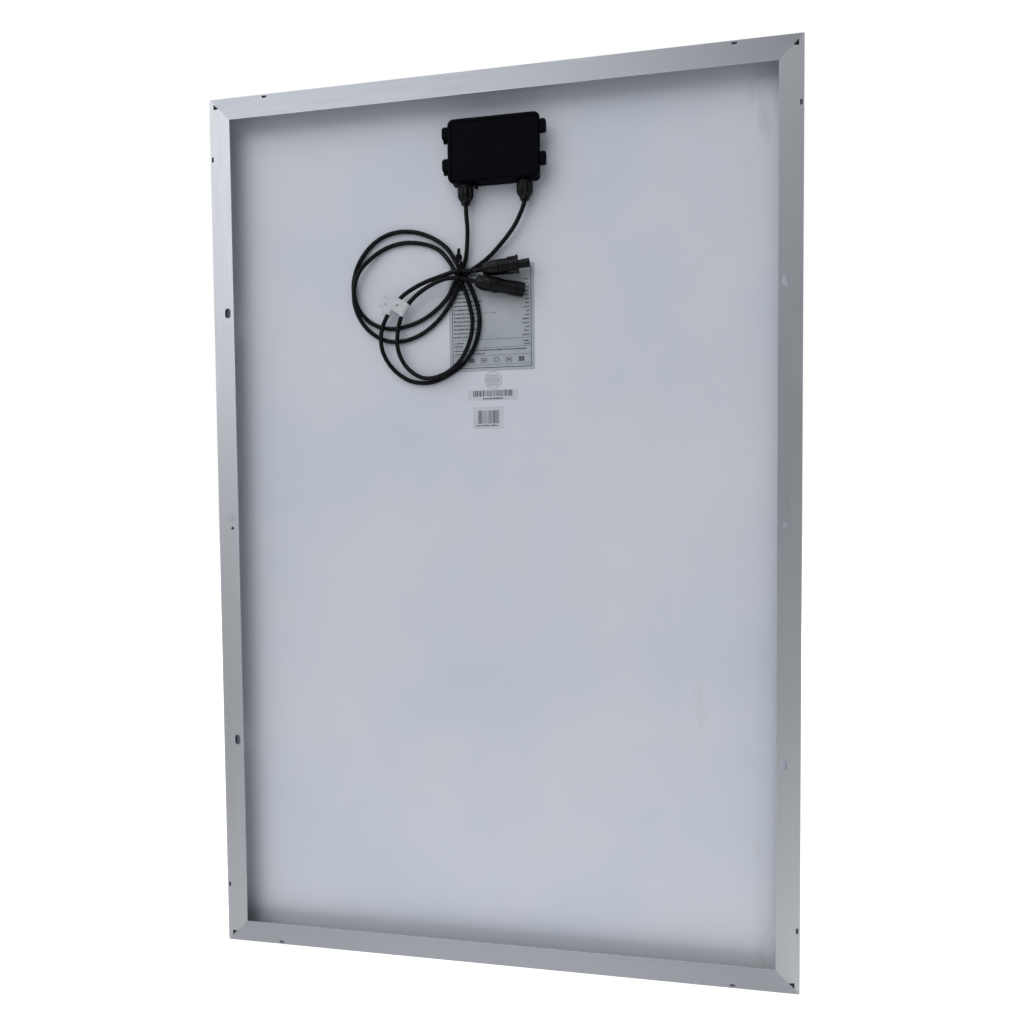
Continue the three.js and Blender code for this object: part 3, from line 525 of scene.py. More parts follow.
def node_material(node, slot):
    """The finish of a CAD node that shows as it is."""
    # The top and bottom members get the darker aluminium copy, which is painted shade.
    special = {
        "frame_left": "aluminium_upright", "frame_right": "aluminium_upright",
        "frame_top": "aluminium_crossing_painted_shade", "frame_bottom": "aluminium_crossing_painted_shade",
        "front_encapsulant": "front_encapsulant", "rear_encapsulant": "rear_encapsulant",
        "inspection_sticker": "sticker_film",
    }
    if node.startswith("corner_key"):
        return MATERIALS["corner_key"]
    return MATERIALS[special.get(node, slot)]


def dress_nodes():
    """Every CAD node gets its finish, and the hard ones their rounded edges."""
    edge_widths = {
        "anodised_aluminium": 0.0003, "black_polymer": 0.0003, "tinned_copper": 0.00015,
        "diode_epoxy": 0.0004, "seal_rubber": 0.0002, "tie_nylon": 0.0003,
    }
    for part in frame["record"]["subparts"]:
        node, slot = part["node"], part["material_slot"]
        piece = NODES[node]
        if not piece.material_slots:
            piece.data.materials.append(None)
        for place in piece.material_slots:
            place.link = "OBJECT"
            place.material = node_material(node, slot)
        if slot in edge_widths:
            soften(piece, edge_widths[slot])


# ---- cables ----

def spline_points(route):
    """Points along a centripetal Catmull-Rom curve, as the part's own tubes follow."""
    steps = 9
    points = [Vector(point) for point in route]
    ends = [2 * points[0] - points[1], *points, 2 * points[-1] - points[-2]]
    made = []
    for p0, p1, p2, p3 in zip(ends, ends[1:], ends[2:], ends[3:]):
        d0, d1, d2 = (math.sqrt((b - a).length) for a, b in ((p0, p1), (p1, p2), (p2, p3)))
        t1 = ((p1 - p0) / d0 - (p2 - p0) / (d0 + d1) + (p2 - p1) / d1) * d1
        t2 = ((p2 - p1) / d1 - (p3 - p1) / (d1 + d2) + (p3 - p2) / d2) * d1
        for i in range(steps):
            t = i / steps
            made.append(p1 + t1 * t + (3 * (p2 - p1) - 2 * t1 - t2) * t ** 2
                        + (2 * (p1 - p2) + t1 + t2) * t ** 3)
    made.append(points[-1])
    return made


def connector_axis(connector):
    """The middle of the coupler nut's back face, and the way that the connector points."""
    joint = JOINTS[connector + "_nut_turn"]
    return Vector(joint["pos_m"]), Vector(joint["axis"]).normalized()


def in_metres(point):
    """A point of a cable's route in metres, to the tenth of a millimetre that the list holds."""
    return [round(value / 1000, 4) for value in point]


def cable_line(name):
    """The cable's centreline, from inside its gland to inside its connector."""
    rear, axis = connector_axis(CONNECTOR_OF[name])
    route = [*map(in_metres, CABLE_ROUTES[name]), rear - CABLE_LEAD * axis, rear - 0.0003 * axis]
    line = spline_points(route)
    return [line[0] + Vector((0, 0, CABLE_IN_GLAND)), *line, rear + CABLE_IN_NUT * axis]


def make_cable(name):
    """One output cable: a round tube along its centreline, in place of the CAD cable."""
    line = cable_line(name)
    data = bpy.data.curves.new(name + "_flex", "CURVE")
    data.dimensions = "3D"
    data.bevel_depth = CABLE_DIAMETER / 2
    data.bevel_resolution = 6
    data.use_fill_caps = True
    spline = data.splines.new("POLY")
    spline.points.add(len(line) - 1)
    for point, place in zip(spline.points, line):
        point.co = (*place, 1)
    spline.use_smooth = True
    cable = new_piece(name + "_flex", data)
    dress(cable, MODULE, "cable_jacket", "cable_jacket", name)


# ---- junction box ----

LID_LOW, LID_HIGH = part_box("junction_box_lid")
BASE_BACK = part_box("junction_box_base")[1].y
HINGE_X, HINGE_Y, _ = JOINTS["lid_hinge"]["pos_m"]
EAR_REACH = 0.0068
BOX = {
    "x": (LID_LOW.x + LID_HIGH.x) / 2, "z": (LID_LOW.z + LID_HIGH.z) / 2,
    "width": LID_HIGH.x - LID_LOW.x - 2 * EAR_REACH, "height": LID_HIGH.z - LID_LOW.z,
    "radius": 0.007, "skirt": 0.0018, "skirt_gap": 0.00025, "wall": 0.002, "floor": 0.002,
    "foot_inset": 0.0016,
}
LID_DEPTH = 0.0056
LID_THICKNESS = 0.002
RIM = LID_LOW.y + LID_THICKNESS
BODY_INSET = BOX["skirt"] + BOX["skirt_gap"]
EAR = {"rows": (0.0206, -0.0148), "height": 0.013, "back": HINGE_Y + 0.0024, "radius": 0.0024}
GLANDS = {"left": -0.0274, "right": 0.0405}
GLAND_Y = -0.0017
GLAND_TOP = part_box("gland_nut_left")[1].z
COMB = {"first": -0.012, "count": 13, "pitch": 0.003, "width": 0.0014, "drop": 0.0009}
SLIT = {"x": (-0.0184, 0.0316), "z": (0.951, 0.955)}  # in the floor, for the ribbons' leads


def box_loop(inset, y, radius=BOX["radius"]):
    """The lid's outline, set in from its edge, at a depth."""
    return rounded(BOX["x"], BOX["z"], BOX["width"] - 2 * inset, BOX["height"] - 2 * inset,
                   max(radius - inset, 0.0006), y)


def box_ring(name, near, far, y0, y1):
    """A ring inside the box, between two distances from its wall's inner face."""
    wall = BODY_INSET + BOX["wall"]
    outer = [box_loop(wall + near, y, 0.0085) for y in (y0, y1)]
    inner = [box_loop(wall + far, y, 0.0095) for y in (y1, y0)]
    return skin(name, outer + inner, ring=True)


def ear_piece(side, z):
    """An ear of the lid: a strap past the edge with a pocket for the pin or the catch."""
    edge = BOX["x"] + side * BOX["width"] / 2
    width = EAR_REACH + 0.001
    middle = edge + side * (EAR_REACH - 0.001) / 2
    ear = slab("ear", middle, z, width, EAR["height"], EAR["radius"],
               LID_LOW.y + 0.002, EAR["back"], 0.0007)
    pocket_x = (HINGE_X + 0.0027, edge + 0.0011) if side < 0 else (edge - 0.0011, edge + 0.0064)
    pocket = block("pocket", (pocket_x[0], LID_LOW.y + 0.0042, z - 0.0031),
                   (pocket_x[1], 0.001, z + 0.0031))
    thumb = slab("thumb", edge + side * 0.0052, z - 0.0012, 0.0034, 0.0056, 0.0014,
                 LID_LOW.y + 0.001, LID_LOW.y + 0.0026, 0.0002)
    return combine(ear, [pocket, thumb], "DIFFERENCE")


def make_lid():
    """The cover: a dished face, its skirt, four ears and the rib that holds the seal."""
    face = LID_LOW.y
    profile = [  # depth below the face, inset from the outline
        (LID_THICKNESS - 0.00005, BOX["skirt"]), (LID_DEPTH, BOX["skirt"]),
        (LID_DEPTH, 0.0003), (LID_DEPTH - 0.0003, 0), (0.002, 0), (0.0011, 0.0003),
        (0.0004, 0.001), (0.0001, 0.0018), (0, 0.0026), (0, 0.004), (0.0002, 0.0044),
        (0.0009, 0.0049), (0.0009, 0.0053), (0.0006, 0.0057), (0.0006, 0.0061),
    ]
    lid = skin("junction_box_cover", [box_loop(inset, face + depth) for depth, inset in profile])
    ears = [ear_piece(side, BOX["z"] + row) for side in (-1, 1) for row in EAR["rows"]]
    ring = box_ring("rib", 0.0024, 0.0038, RIM - 0.0005, RIM + 0.003)
    combine(lid, [*ears, ring], "UNION")
    bores = [peg(0.0016, -0.008, 0.008, 24, (HINGE_X, HINGE_Y, BOX["z"] + row)) for row in EAR["rows"]]
    combine(lid, bores, "DIFFERENCE")
    soften(lid, 0.00025)
    dress(lid, "lid", "black_polymer", "black_polymer", "junction_box_lid")


def base_fittings(skirt_end, below, back):
    """Hinge cheeks and pins, catches, the comb between the glands and the stop beside it."""
    fittings = []
    wall_x = BOX["x"] - BOX["width"] / 2 + BODY_INSET
    edge = BOX["x"] + BOX["width"] / 2
    half = EAR["height"] / 2 + 0.0004
    near = skirt_end + 0.0006
    for row in EAR["rows"]:
        z = BOX["z"] + row
        for way in (-1, 1):
            centre = z + way * (half + 0.0009)
            fittings.append(block("cheek", (HINGE_X - 0.0019, near, centre - 0.0009),
                                  (wall_x + 0.0005, HINGE_Y + 0.002, centre + 0.0009)))
        fittings.append(peg(0.0012, -half - 0.001, half + 0.001, 24, (HINGE_X, HINGE_Y, z)))
        fittings.append(block("catch", (edge - BODY_INSET - 0.0005, near, z - 0.0028),
                              (edge + EAR_REACH - 0.0026, HINGE_Y, z + 0.0028)))
    top = below + BODY_INSET + 0.0005
    comb_end = below + BOX["foot_inset"] - COMB["drop"]
    for i in range(COMB["count"]):
        x = COMB["first"] + i * COMB["pitch"]
        fittings.append(block("tooth", (x, skirt_end + 0.0005, comb_end),
                              (x + COMB["width"], back - 0.0005, top)))
    stop_x = GLANDS["left"] + 0.0102
    fittings.append(block("stop", (stop_x, -0.006, below - 0.0018),
                          (stop_x + 0.003, back - 0.001, top)))
    return fittings


def make_base():
    """The tray: foot, walls, gland collars and bores, and its fittings."""
    back, inset = BASE_BACK, BOX["foot_inset"]
    foot = slab("junction_box_tray", BOX["x"], BOX["z"], BOX["width"] - 2 * inset,
                BOX["height"] - 2 * inset, BOX["radius"] - inset, back - 0.0018, back, 0.0004)
    skirt_end = LID_LOW.y + LID_DEPTH
    below = BOX["z"] - BOX["height"] / 2
    profile = [
        (0.0058, GLAND_TOP - 0.009), (0.006, GLAND_TOP - 0.0088), (0.006, GLAND_TOP + 0.0003),
        (0.0091, GLAND_TOP + 0.0003), (0.0095, GLAND_TOP + 0.0007), (0.0095, below + 0.003),
    ]
    collars = [shift(turned("collar", profile, 72), x, GLAND_Y, 0) for x in GLANDS.values()]
    combine(foot, collars, "UNION")
    behind = block("behind", (-0.1, back, below - 0.03), (0.1, back + 0.02, below + 0.03))
    under_lid = block("under_lid", (-0.1, -0.016, below - 0.0003),
                      (0.1, skirt_end + 0.0004, below + 0.02))
    combine(foot, [behind, under_lid], "DIFFERENCE")
    walls = skin("walls", [box_loop(BODY_INSET, y) for y in (RIM, back - 0.0005)])
    combine(foot, [walls], "UNION")
    cavity = skin("cavity", [box_loop(BODY_INSET + BOX["wall"], y)
                             for y in (RIM - 0.001, back - BOX["floor"])])
    bores = [peg(0.0043, GLAND_TOP - 0.012, below + 0.008, 40, (x, GLAND_Y, 0))
             for x in GLANDS.values()]
    slit = block("slit", (SLIT["x"][0], back - 0.003, SLIT["z"][0]),
                 (SLIT["x"][1], back + 0.001, SLIT["z"][1]))
    combine(foot, [cavity, *bores, slit], "DIFFERENCE")
    combine(foot, base_fittings(skirt_end, below, back), "UNION")
    soften(foot, 0.0002)
    dress(foot, MODULE, "black_polymer", "black_polymer", "junction_box_base")


def flutes(count, depth, start, end):
    """Grooves between ribs with round tops, which fade out beyond start and end."""
    def groove(angle, height):
        wave = 0.5 - 0.5 * math.cos(count * angle)
        here = min(1.0, max(0.0, (height - start) / 0.0015), max(0.0, (end - height) / 0.0008))
        return depth * here * min(1.0, (1.35 * wave) ** 2.4)
    return groove


def spaced(points, step):
    """The profile with more points along its long straight runs, so that flutes can fade."""
    made = []
    for (r0, h0), (r1, h1) in zip(points, points[1:]):
        parts = max(1, round(abs(h1 - h0) / step))
        made += [(r0 + (r1 - r0) * i / parts, h0 + (h1 - h0) * i / parts) for i in range(parts)]
    return [*made, points[-1]]


def fluted_nut(name, outside, inside, count, depth, start, end):
    """A hollow nut from its outer profile and its inner one, with flutes on the outside only."""
    groove = flutes(count, depth, start, end)
    steps = count * 14
    loops = [circle(*point, steps, groove) for point in spaced(outside, 0.0012)]
    loops += [circle(*point, steps) for point in inside]
    return skin(name, loops, ring=True)


def make_gland_cap(side):
    """A gland's cap nut: a ribbed grip, a tapered nose and a lip."""
    low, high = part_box("gland_nut_" + side)
    length = high.z - low.z
    outside = [
        (0.003, 0.0003), (0.0034, 0), (0.005, 0), (0.0055, 0.0005), (0.0055, 0.0013),
        (0.0052, 0.0015), (0.0052, 0.002), (0.0056, 0.0022), (0.0056, 0.0034),
        (0.0062, 0.0038), (0.0073, 0.0052), (0.0083, 0.0069), (0.0089, 0.0086),
        (0.0092, 0.0104), (0.0092, length - 0.0024), (0.0088, length - 0.0021),
        (0.0088, length - 0.0016), (0.0094, length - 0.0013), (0.0094, length - 0.0004),
        (0.009, length),
    ]
    inside = [(0.0064, length), (0.0063, 0.01), (0.003, 0.0098)]
    cap = fluted_nut("gland_cap_" + side, outside, inside, 10, 0.0011, 0.0052, length - 0.0026)
    shift(cap, GLANDS[side], GLAND_Y, low.z)
    soften(cap, 0.0001, 1)
    dress(cap, "gland_nut_" + side, "black_polymer", "glossy_polymer", "gland_nut_" + side)


# ---- connectors ----

COUPLER = {"nut": 0.0085, "nut_length": 0.019, "body": 0.0088, "neck": 0.0065}
SOCKET = {"length": 0.0544, "nose": 0.0049, "nose_length": 0.0135, "bore": 0.0027}
PLUG = {"length": 0.05647, "tip": 0.0077, "ring": 0.007, "bore": 0.0024, "mouth": 0.0053}
HOUSING_START = COUPLER["nut_length"] + 0.0003
HOUSING_NECK = [
    (0.003, 0.009), (COUPLER["neck"], 0.009), (COUPLER["neck"], HOUSING_START),
    (COUPLER["body"] - 0.0004, HOUSING_START), (COUPLER["body"], HOUSING_START + 0.0004),
]


def connector_place(connector):
    """Z along the connector, X out of the back of the module."""
    rear, axis = connector_axis(connector)
    outward = Vector((0, -1, 0))
    x = (outward - outward.dot(axis) * axis).normalized()
    y = axis.cross(x)
    return Matrix.Translation(rear) @ Matrix((x, y, axis)).transposed().to_4x4()


def make_coupler_nut(kind):
    """A connector's cap nut."""
    length = COUPLER["nut_length"]
    outside = [
        (0.0032, 0), (0.0043, 0), (0.005, 0.0006), (0.0061, 0.0022), (0.0071, 0.0043),
        (0.008, 0.007), (0.0085, 0.01), (0.0085, 0.013), (0.0083, 0.0134),
        (0.0085, 0.0138), (0.0085, length - 0.0004), (0.0081, length),
    ]
    inside = [(0.0069, length), (0.0068, 0.0082), (0.0032, 0.008)]
    nut = fluted_nut(f"connector_{kind}_cap", outside, inside, 8, 0.001, 0.006, 0.0132)
    move(nut, connector_place("connector_" + kind))
    soften(nut, 0.0001, 1)
    name = f"connector_{kind}_nut"
    return dress(nut, name, "black_polymer", "glossy_polymer", name)


def latch_arms(start, end, radius, width, barb):
    """The two spring arms on a connector's sides, each with a barb at its end."""
    arms = []
    for way in (-1, 1):
        for low, out in ((start, 0), (end - 0.0022, barb)):
            near, far = sorted((way * (radius - 0.0022), way * (radius + out)))
            arms.append(block("arm", (-width / 2, near, low), (width / 2, far, end)))
    return arms


def ring_groove(radius, depth, start, width, ramp):
    """Profile points of a groove round a turned body."""
    return [(radius, start), (radius - depth, start + ramp),
            (radius - depth, start + width - ramp), (radius, start + width)]


def finish_housing(housing, kind, tools):
    """Cuts the housing's openings, and puts it in its place."""
    combine(housing, tools, "DIFFERENCE")
    move(housing, connector_place("connector_" + kind))
    soften(housing, 0.0002)
    return dress(housing, MODULE, "black_polymer", "glossy_polymer", f"connector_{kind}_body")


def make_socket():
    """The socket's housing: grip rings, two barbed arms and a slim nose."""
    start, body, nose, end = HOUSING_START, COUPLER["body"], SOCKET["nose"], SOCKET["length"]
    step = end - SOCKET["nose_length"]
    profile = list(HOUSING_NECK)
    for i in range(3):  # grip rings behind the arms
        profile += ring_groove(body, 0.0007, start + 0.0032 + i * 0.0022, 0.0012, 0.0003)
    profile += [
        (body, start + 0.0102), (body - 0.0012, start + 0.0112), (body - 0.0012, step - 0.0042),
        (body - 0.0006, step - 0.0036), (body - 0.0006, step - 0.0006), (body - 0.0012, step),
        (nose + 0.0003, step), (nose, step + 0.0004),
        *ring_groove(nose, 0.0005, step + 0.002, 0.0024, 0.0003),
        (nose, end - 0.0005), (nose - 0.0005, end), (SOCKET["bore"], end),
    ]
    housing = turned("socket_housing", profile, 72)
    arms = latch_arms(start + 0.0106, step + 0.0006, body + 0.0002, 0.0066, 0.001)
    combine(housing, arms, "UNION")
    bore = peg(SOCKET["bore"], 0.001, end + 0.002, 32)
    windows = [block("window", (-0.0017, way * 0.0069 - 0.003, step - 0.0078),
                     (0.0017, way * 0.0069 + 0.003, step - 0.0052)) for way in (-1, 1)]
    return finish_housing(housing, "socket", [bore, *windows])


def make_plug():
    """The plug's housing: a collar, a smooth barrel and step rings behind its mouth."""
    start, body, tip, end = HOUSING_START, COUPLER["body"], PLUG["tip"], PLUG["length"]
    ring = end - PLUG["ring"]
    profile = [*HOUSING_NECK, (body, start + 0.0062), (body - 0.0006, start + 0.0078),
               (tip, start + 0.011), *ring_groove(tip, 0.0013, ring - 0.0026, 0.0021, 0.0003)]
    for i in range(2):  # step rings just behind the mouth
        profile += ring_groove(tip, 0.0004, ring + 0.0011 + i * 0.0016, 0.0008, 0.0002)
    profile += [(tip, end - 0.0005), (tip - 0.0005, end), (PLUG["bore"], end)]
    housing = turned("plug_housing", profile, 72)
    combine(housing, latch_arms(ring - 0.011, end - 0.001, tip + 0.0002, 0.0052, 0), "UNION")
    tools = [peg(PLUG["bore"], 0.001, end + 0.002, 32),
             peg(PLUG["mouth"], end - 0.016, end + 0.001, 48)]
    tools += [block("slot", (way * 0.0036 - 0.0005, -0.012, end - 0.012),
                    (way * 0.0036 + 0.0005, 0.012, end + 0.001)) for way in (-1, 1)]
    return finish_housing(housing, "plug", tools)


# ---- tie and tags ----

TIE = {"x": -0.0353, "y": -0.0017, "z": 0.8, "width": 0.0026, "band": 0.0011,
       "deep": 0.0168, "tall": 0.032, "tail": 0.012}


def tie_loop(grow, x, radius):
    """The band's outline round the bundle, in Y and Z."""
    width, height = TIE["deep"] + 2 * grow, TIE["tall"] + 2 * grow
    flat = rounded(TIE["y"], TIE["z"], width, height, radius, 0)
    return [Vector((TIE["x"] + x, point.x, point.z)) for point in flat]


def make_tie():
    """The tie round the bundle: its band, its head and the cut end."""
    half, band = TIE["width"] / 2, TIE["band"]
    loops = [tie_loop(band, -half + 0.0003, 0.004), tie_loop(band, half - 0.0003, 0.004),
             tie_loop(band - 0.0003, half, 0.0038), tie_loop(0.0002, half, 0.0032),
             tie_loop(0, half - 0.0002, 0.003), tie_loop(0, -half + 0.0002, 0.003),
             tie_loop(0.0002, -half, 0.0032), tie_loop(band - 0.0003, -half, 0.0038)]
    band_piece = skin("bundle_tie", loops, ring=True)
    top = TIE["z"] + TIE["tall"] / 2
    y = TIE["y"]
    head = block("head", (TIE["x"] - 0.003, y - 0.0074, top + 0.0002),
                 (TIE["x"] + 0.003, y - 0.0006, top + 0.0044))
    lean = []
    for i in range(13):  # the cut end stands up out of the head with a slight bend
        t = i / 12
        middle = y - 0.0051 + 0.0012 * t * t
        z = top + 0.001 + (TIE["tail"] - 0.001) * t
        lean.append([Vector((TIE["x"] + sx * 0.0018 * (1 - 0.25 * t ** 6), middle + sy * 0.0006, z))
                     for sx, sy in SQUARE])
    combine(band_piece, [head, skin("tail", lean)], "UNION")
    soften(band_piece, 0.0002)
    return dress(band_piece, MODULE, "tie_nylon", "tie_nylon", "cable_tie")


# The left tag is marked with a minus and the right one with a plus.
TAGS = {"left": {"at": 0.7365, "lift": 0.0}, "right": {"at": 0.733, "lift": 0.0034}}
TAG = {"length": 0.017, "reach": 0.0157, "bore": 0.0032, "outside": 0.00345, "half": 0.00013}
TAG_AROUND = 28
TAG_STEPS = 12
LEAF_STEPS = 14


def along_line(line, distance):
    """The point that far along a line, and the way the line runs there."""
    for a, b in zip(line, line[1:]):
        step = (b - a).length
        if distance <= step:
            return a + (b - a) * (distance / step), (b - a).normalized()
        distance -= step
    return line[-1], (line[-1] - line[-2]).normalized()


def make_tag(side):
    """A film tag: a sleeve round the cable and a leaf with a slight wave, marked by polarity."""
    at, rise = TAGS[side]["at"], TAGS[side]["lift"]
    line = cable_line("cable_" + side)[1:]
    depth = Vector((0, 1, 0))

    def around(distance, radius):
        place, way = along_line(line, distance)
        out = way.cross(depth).normalized()
        up = out.cross(way)
        angles = (2 * math.pi * i / TAG_AROUND for i in range(TAG_AROUND))
        return [place + radius * (math.cos(a) * out + math.sin(a) * up) for a in angles]

    start = at - TAG["length"] / 2
    places = [start + TAG["length"] * i / TAG_STEPS for i in range(TAG_STEPS + 1)]
    outer = [around(d, TAG["outside"] + 0.00012 * math.sin(i * 2.1)) for i, d in enumerate(places)]
    inner = [around(d, TAG["bore"]) for d in places[::-1]]
    sleeve = skin(f"tag_sleeve_{side}", outer + inner, ring=True)

    place, way = along_line(line, at)
    out = way.cross(depth).normalized()
    back = Vector((0, -1, 0))
    sections = []
    for i in range(TAG_STEPS + 1):
        s = (i / TAG_STEPS - 0.5) * (TAG["length"] - 0.0015)
        middles = []
        for j in range(LEAF_STEPS + 1):
            far = j / LEAF_STEPS
            r = 0.0008 + (TAG["reach"] - 0.0008) * far
            lift = rise + 0.00035 * math.sin(5.5 * far + 9 * i / TAG_STEPS) * far
            middles.append(place + s * way + r * out + lift * back)
        sections.append([middle + TAG["half"] * back for middle in middles]
                        + [middle - TAG["half"] * back for middle in middles[::-1]])
    combine(sleeve, [skin("leaf", sections)], "UNION")
    ends = [start - 0.002, *places, start + TAG["length"] + 0.002]
    combine(sleeve, [skin("bore", [around(d, TAG["bore"]) for d in ends])], "DIFFERENCE")
    soften(sleeve, 0.00005, 1)
    dress(sleeve, MODULE, "clear_film", "clear_film", f"cable_tag_{side}")

    centre = place + TAG["reach"] * 0.6 * out + (rise + 0.00042) * back
    bars = [(0.0026, 0.0007), (0.0007, 0.0026)][:1 if side == "left" else 2]
    marks = [skin("mark", [[centre + sx * wide / 2 * out + sz * tall / 2 * way + level * back
                            for sx, sz in SQUARE] for level in (0, 0.0001)]) for wide, tall in bars]
    mark = combine(marks[0], marks[1:], "UNION")
    mark.name = mark.data.name = f"tag_mark_{side}"
    dress(mark, MODULE, "clear_film", "ink")
    return sleeve, mark


# ---- labels ----

PRINT_GAP = 0.00001
PRINT_DEPTH = 0.00003


def printed(name, shapes, surface, slot, finish):
    """Flat prints on a face that looks out of the back: each shape is an outline in X and Z."""
    mesh = bmesh.new()
    for outline in shapes:
        prism(mesh, *([(x, y, z) for x, z in outline]
                      for y in (surface - PRINT_GAP, surface - PRINT_GAP - PRINT_DEPTH)))
    dress(finished(name, mesh), MODULE, slot, finish)


def bar(x0, x1, z0, z1):
    """An upright rectangle's outline."""
    return [(x0, z0), (x1, z0), (x1, z1), (x0, z1)]


def frame_bars(x0, x1, z0, z1, line):
    """The four sides of a rectangle as bars that meet without overlapping."""
    return [bar(x0, x1, z0, z0 + line), bar(x0, x1, z1 - line, z1),
            bar(x0, x0 + line, z0 + line, z1 - line), bar(x1 - line, x1, z0 + line, z1 - line)]


def ring_bars(x, z, radius, line, count=24):
    """A thin ring as short straight bars."""
    shapes = []
    for i in range(count):
        a0, a1 = (2 * math.pi * (i + part) / count for part in (0.02, 0.98))
        shapes.append([(x + r * math.cos(a), z + r * math.sin(a)) for r, a in (
            (radius, a0), (radius, a1), (radius - line, a1), (radius - line, a0))])
    return shapes


def dashes(dice, x0, x1, z, height):
    """A row of short marks in place of words, from x0 to x1."""
    shapes = []
    x = x0
    while x < x1 - 0.0004:
        wide = min(dice.uniform(0.0005, 0.0017), x1 - x)
        shapes.append(bar(x, x + wide, z, z + height * dice.choice((0.7, 0.85, 1.0))))
        x += wide + dice.uniform(0.00025, 0.0006)
    return shapes


def bars_code(dice, x0, x1, z0, z1):
    """Upright bars of uneven width."""
    shapes = []
    x = x0
    while x < x1 - 0.0003:
        wide = dice.choice((0.0004, 0.0004, 0.0007, 0.0011))
        shapes.append(bar(x, min(x + wide, x1), z0, z1))
        x += wide + dice.choice((0.0004, 0.0006, 0.001))
    return shapes


def make_rating_print():
    """A generic data plate: a border, rows of marks in two columns, rules and plain icons."""
    dice = random.Random(36)
    low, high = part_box("rating_label")
    x0, x1, z0, z1 = low.x + 0.0036, high.x - 0.0036, low.z + 0.0036, high.z - 0.0036
    shapes = frame_bars(x0, x1, z0, z1, 0.0007)
    rules = [0.0036, 0.0142, 0.0232, 0.0326]
    shapes += [bar(x0 + 0.0007, x1 - 0.0007, z0 + rise, z0 + rise + 0.00035) for rise in rules]
    left, right, tall = x0 + 0.0022, x1 - 0.0022, 0.0019
    row = z0 + rules[3] + 0.0028
    while row < z1 - 0.0135:
        shapes += dashes(dice, left, left + dice.uniform(0.013, 0.034), row, tall)
        shapes += dashes(dice, right - dice.uniform(0.003, 0.0085), right, row, tall)
        row += 0.0045
    shapes += dashes(dice, left + 0.02, right - 0.02, z1 - 0.0085, 0.0034)
    for rise, reach in ((0.0285, 0.012), (0.025, 0.01)):
        shapes += dashes(dice, left, left + reach, z0 + rise, tall)
        shapes += dashes(dice, right - reach * 0.6, right, z0 + rise, tall)
    shapes += dashes(dice, left, right - 0.004, z0 + 0.0198, 0.0017)
    shapes += dashes(dice, left, left + 0.036, z0 + 0.016, 0.0017)
    middle = z0 + 0.063
    shapes.append(bar(x0 + 0.0345, x0 + 0.0475, middle, middle + 0.0003))
    shapes += dashes(dice, x0 + 0.048, x0 + 0.0515, middle - 0.0004, 0.0012)
    icon_z = z0 + 0.009
    for i, kind in enumerate(("ring", "plate", "frame", "ring", "frame", "plate")):
        x = left + 0.006 + i * 0.0145
        if kind == "ring":
            shapes += ring_bars(x, icon_z, 0.0031, 0.0007)
        elif kind == "frame":
            shapes += frame_bars(x - 0.0036, x + 0.0036, icon_z - 0.0026, icon_z + 0.0026, 0.0006)
            shapes.append(bar(x - 0.0018, x + 0.0018, icon_z - 0.0008, icon_z + 0.0008))
        else:
            for column in range(4):
                shapes.append(bar(x - 0.0032 + column * 0.0017, x - 0.0019 + column * 0.0017,
                                  icon_z - 0.0028, icon_z + 0.0028))
    printed("rating_label_print", shapes, low.y, "silver_label", "ink")


def make_barcode_prints():
    """Random bars that encode nothing, with a row of marks under them."""
    dice = random.Random(11)
    low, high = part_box("barcode_label_long")
    shapes = bars_code(dice, low.x + 0.0065, high.x - 0.0065, high.z - 0.0076, high.z - 0.0008)
    shapes += dashes(dice, low.x + 0.018, high.x - 0.018, low.z + 0.0014, 0.0018)
    printed("barcode_long_print", shapes, low.y, "white_label", "ink")
    low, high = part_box("barcode_label_small")
    shapes = bars_code(dice, low.x + 0.006, high.x - 0.0045, low.z + 0.006, high.z - 0.0045)
    shapes += dashes(dice, low.x + 0.0035, high.x - 0.006, low.z + 0.003, 0.0017)
    printed("barcode_small_print", shapes, low.y, "white_label", "grey_ink")


def make_sticker_print():
    """The round sticker's edge and some faint strokes inside it."""
    dice = random.Random(5)
    low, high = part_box("inspection_sticker")
    x, z, radius = (low.x + high.x) / 2, (low.z + high.z) / 2, (high.x - low.x) / 2
    shapes = ring_bars(x, z, radius - 0.0002, 0.00035, 48)
    for i in range(5):
        row = z + (i - 2) * 0.0027
        reach = math.sqrt(max(0.0, (radius - 0.0024) ** 2 - (row - z) ** 2))
        shapes += dashes(dice, x - reach, x + reach, row - 0.0007, 0.0013)
    printed("sticker_print", shapes, low.y, "clear_film", "pale_ink")


def make_ground_mark():
    """The earth symbol stamped above the left grounding hole: a ring, a stem and three bars."""
    x = CAD_BOX[0].x + 0.0175
    z = HEIGHT / 2 + 0.0125
    shapes = ring_bars(x, z, 0.0044, 0.0004, 32)
    shapes.append(bar(x - 0.0002, x + 0.0002, z, z + 0.0028))
    for i, half in enumerate((0.0025, 0.0016, 0.0007)):
        level = z - i * 0.001
        shapes.append(bar(x - half, x + half, level - 0.0004, level))
    printed("ground_mark", shapes, CAD_BOX[0].y, "anodised_aluminium", "pale_ink")


# ---- glass side ----

def make_cell_tabs():
    """The two soldered ribbons down the front of each string of cells."""
    mesh = bmesh.new()
    for column in range(1, 5):
        low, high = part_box(f"cell_string_{column}")
        middle = (low.x + high.x) / 2
        for offset in (-TAB["offset"], TAB["offset"]):
            x = middle + offset
            prism(mesh, *([(x + sx * TAB["half_width"],
                            high.y + TAB["gap"] + (TAB["height"] if top else 0), z)
                           for sx, top in ((-1, 0), (1, 0), (0.8, 1), (-0.8, 1))]
                          for z in (low.z, high.z)))
    dress(finished("cell_tabs", mesh), MODULE, "tinned_copper", "tinned_copper")


# ---- stage ----

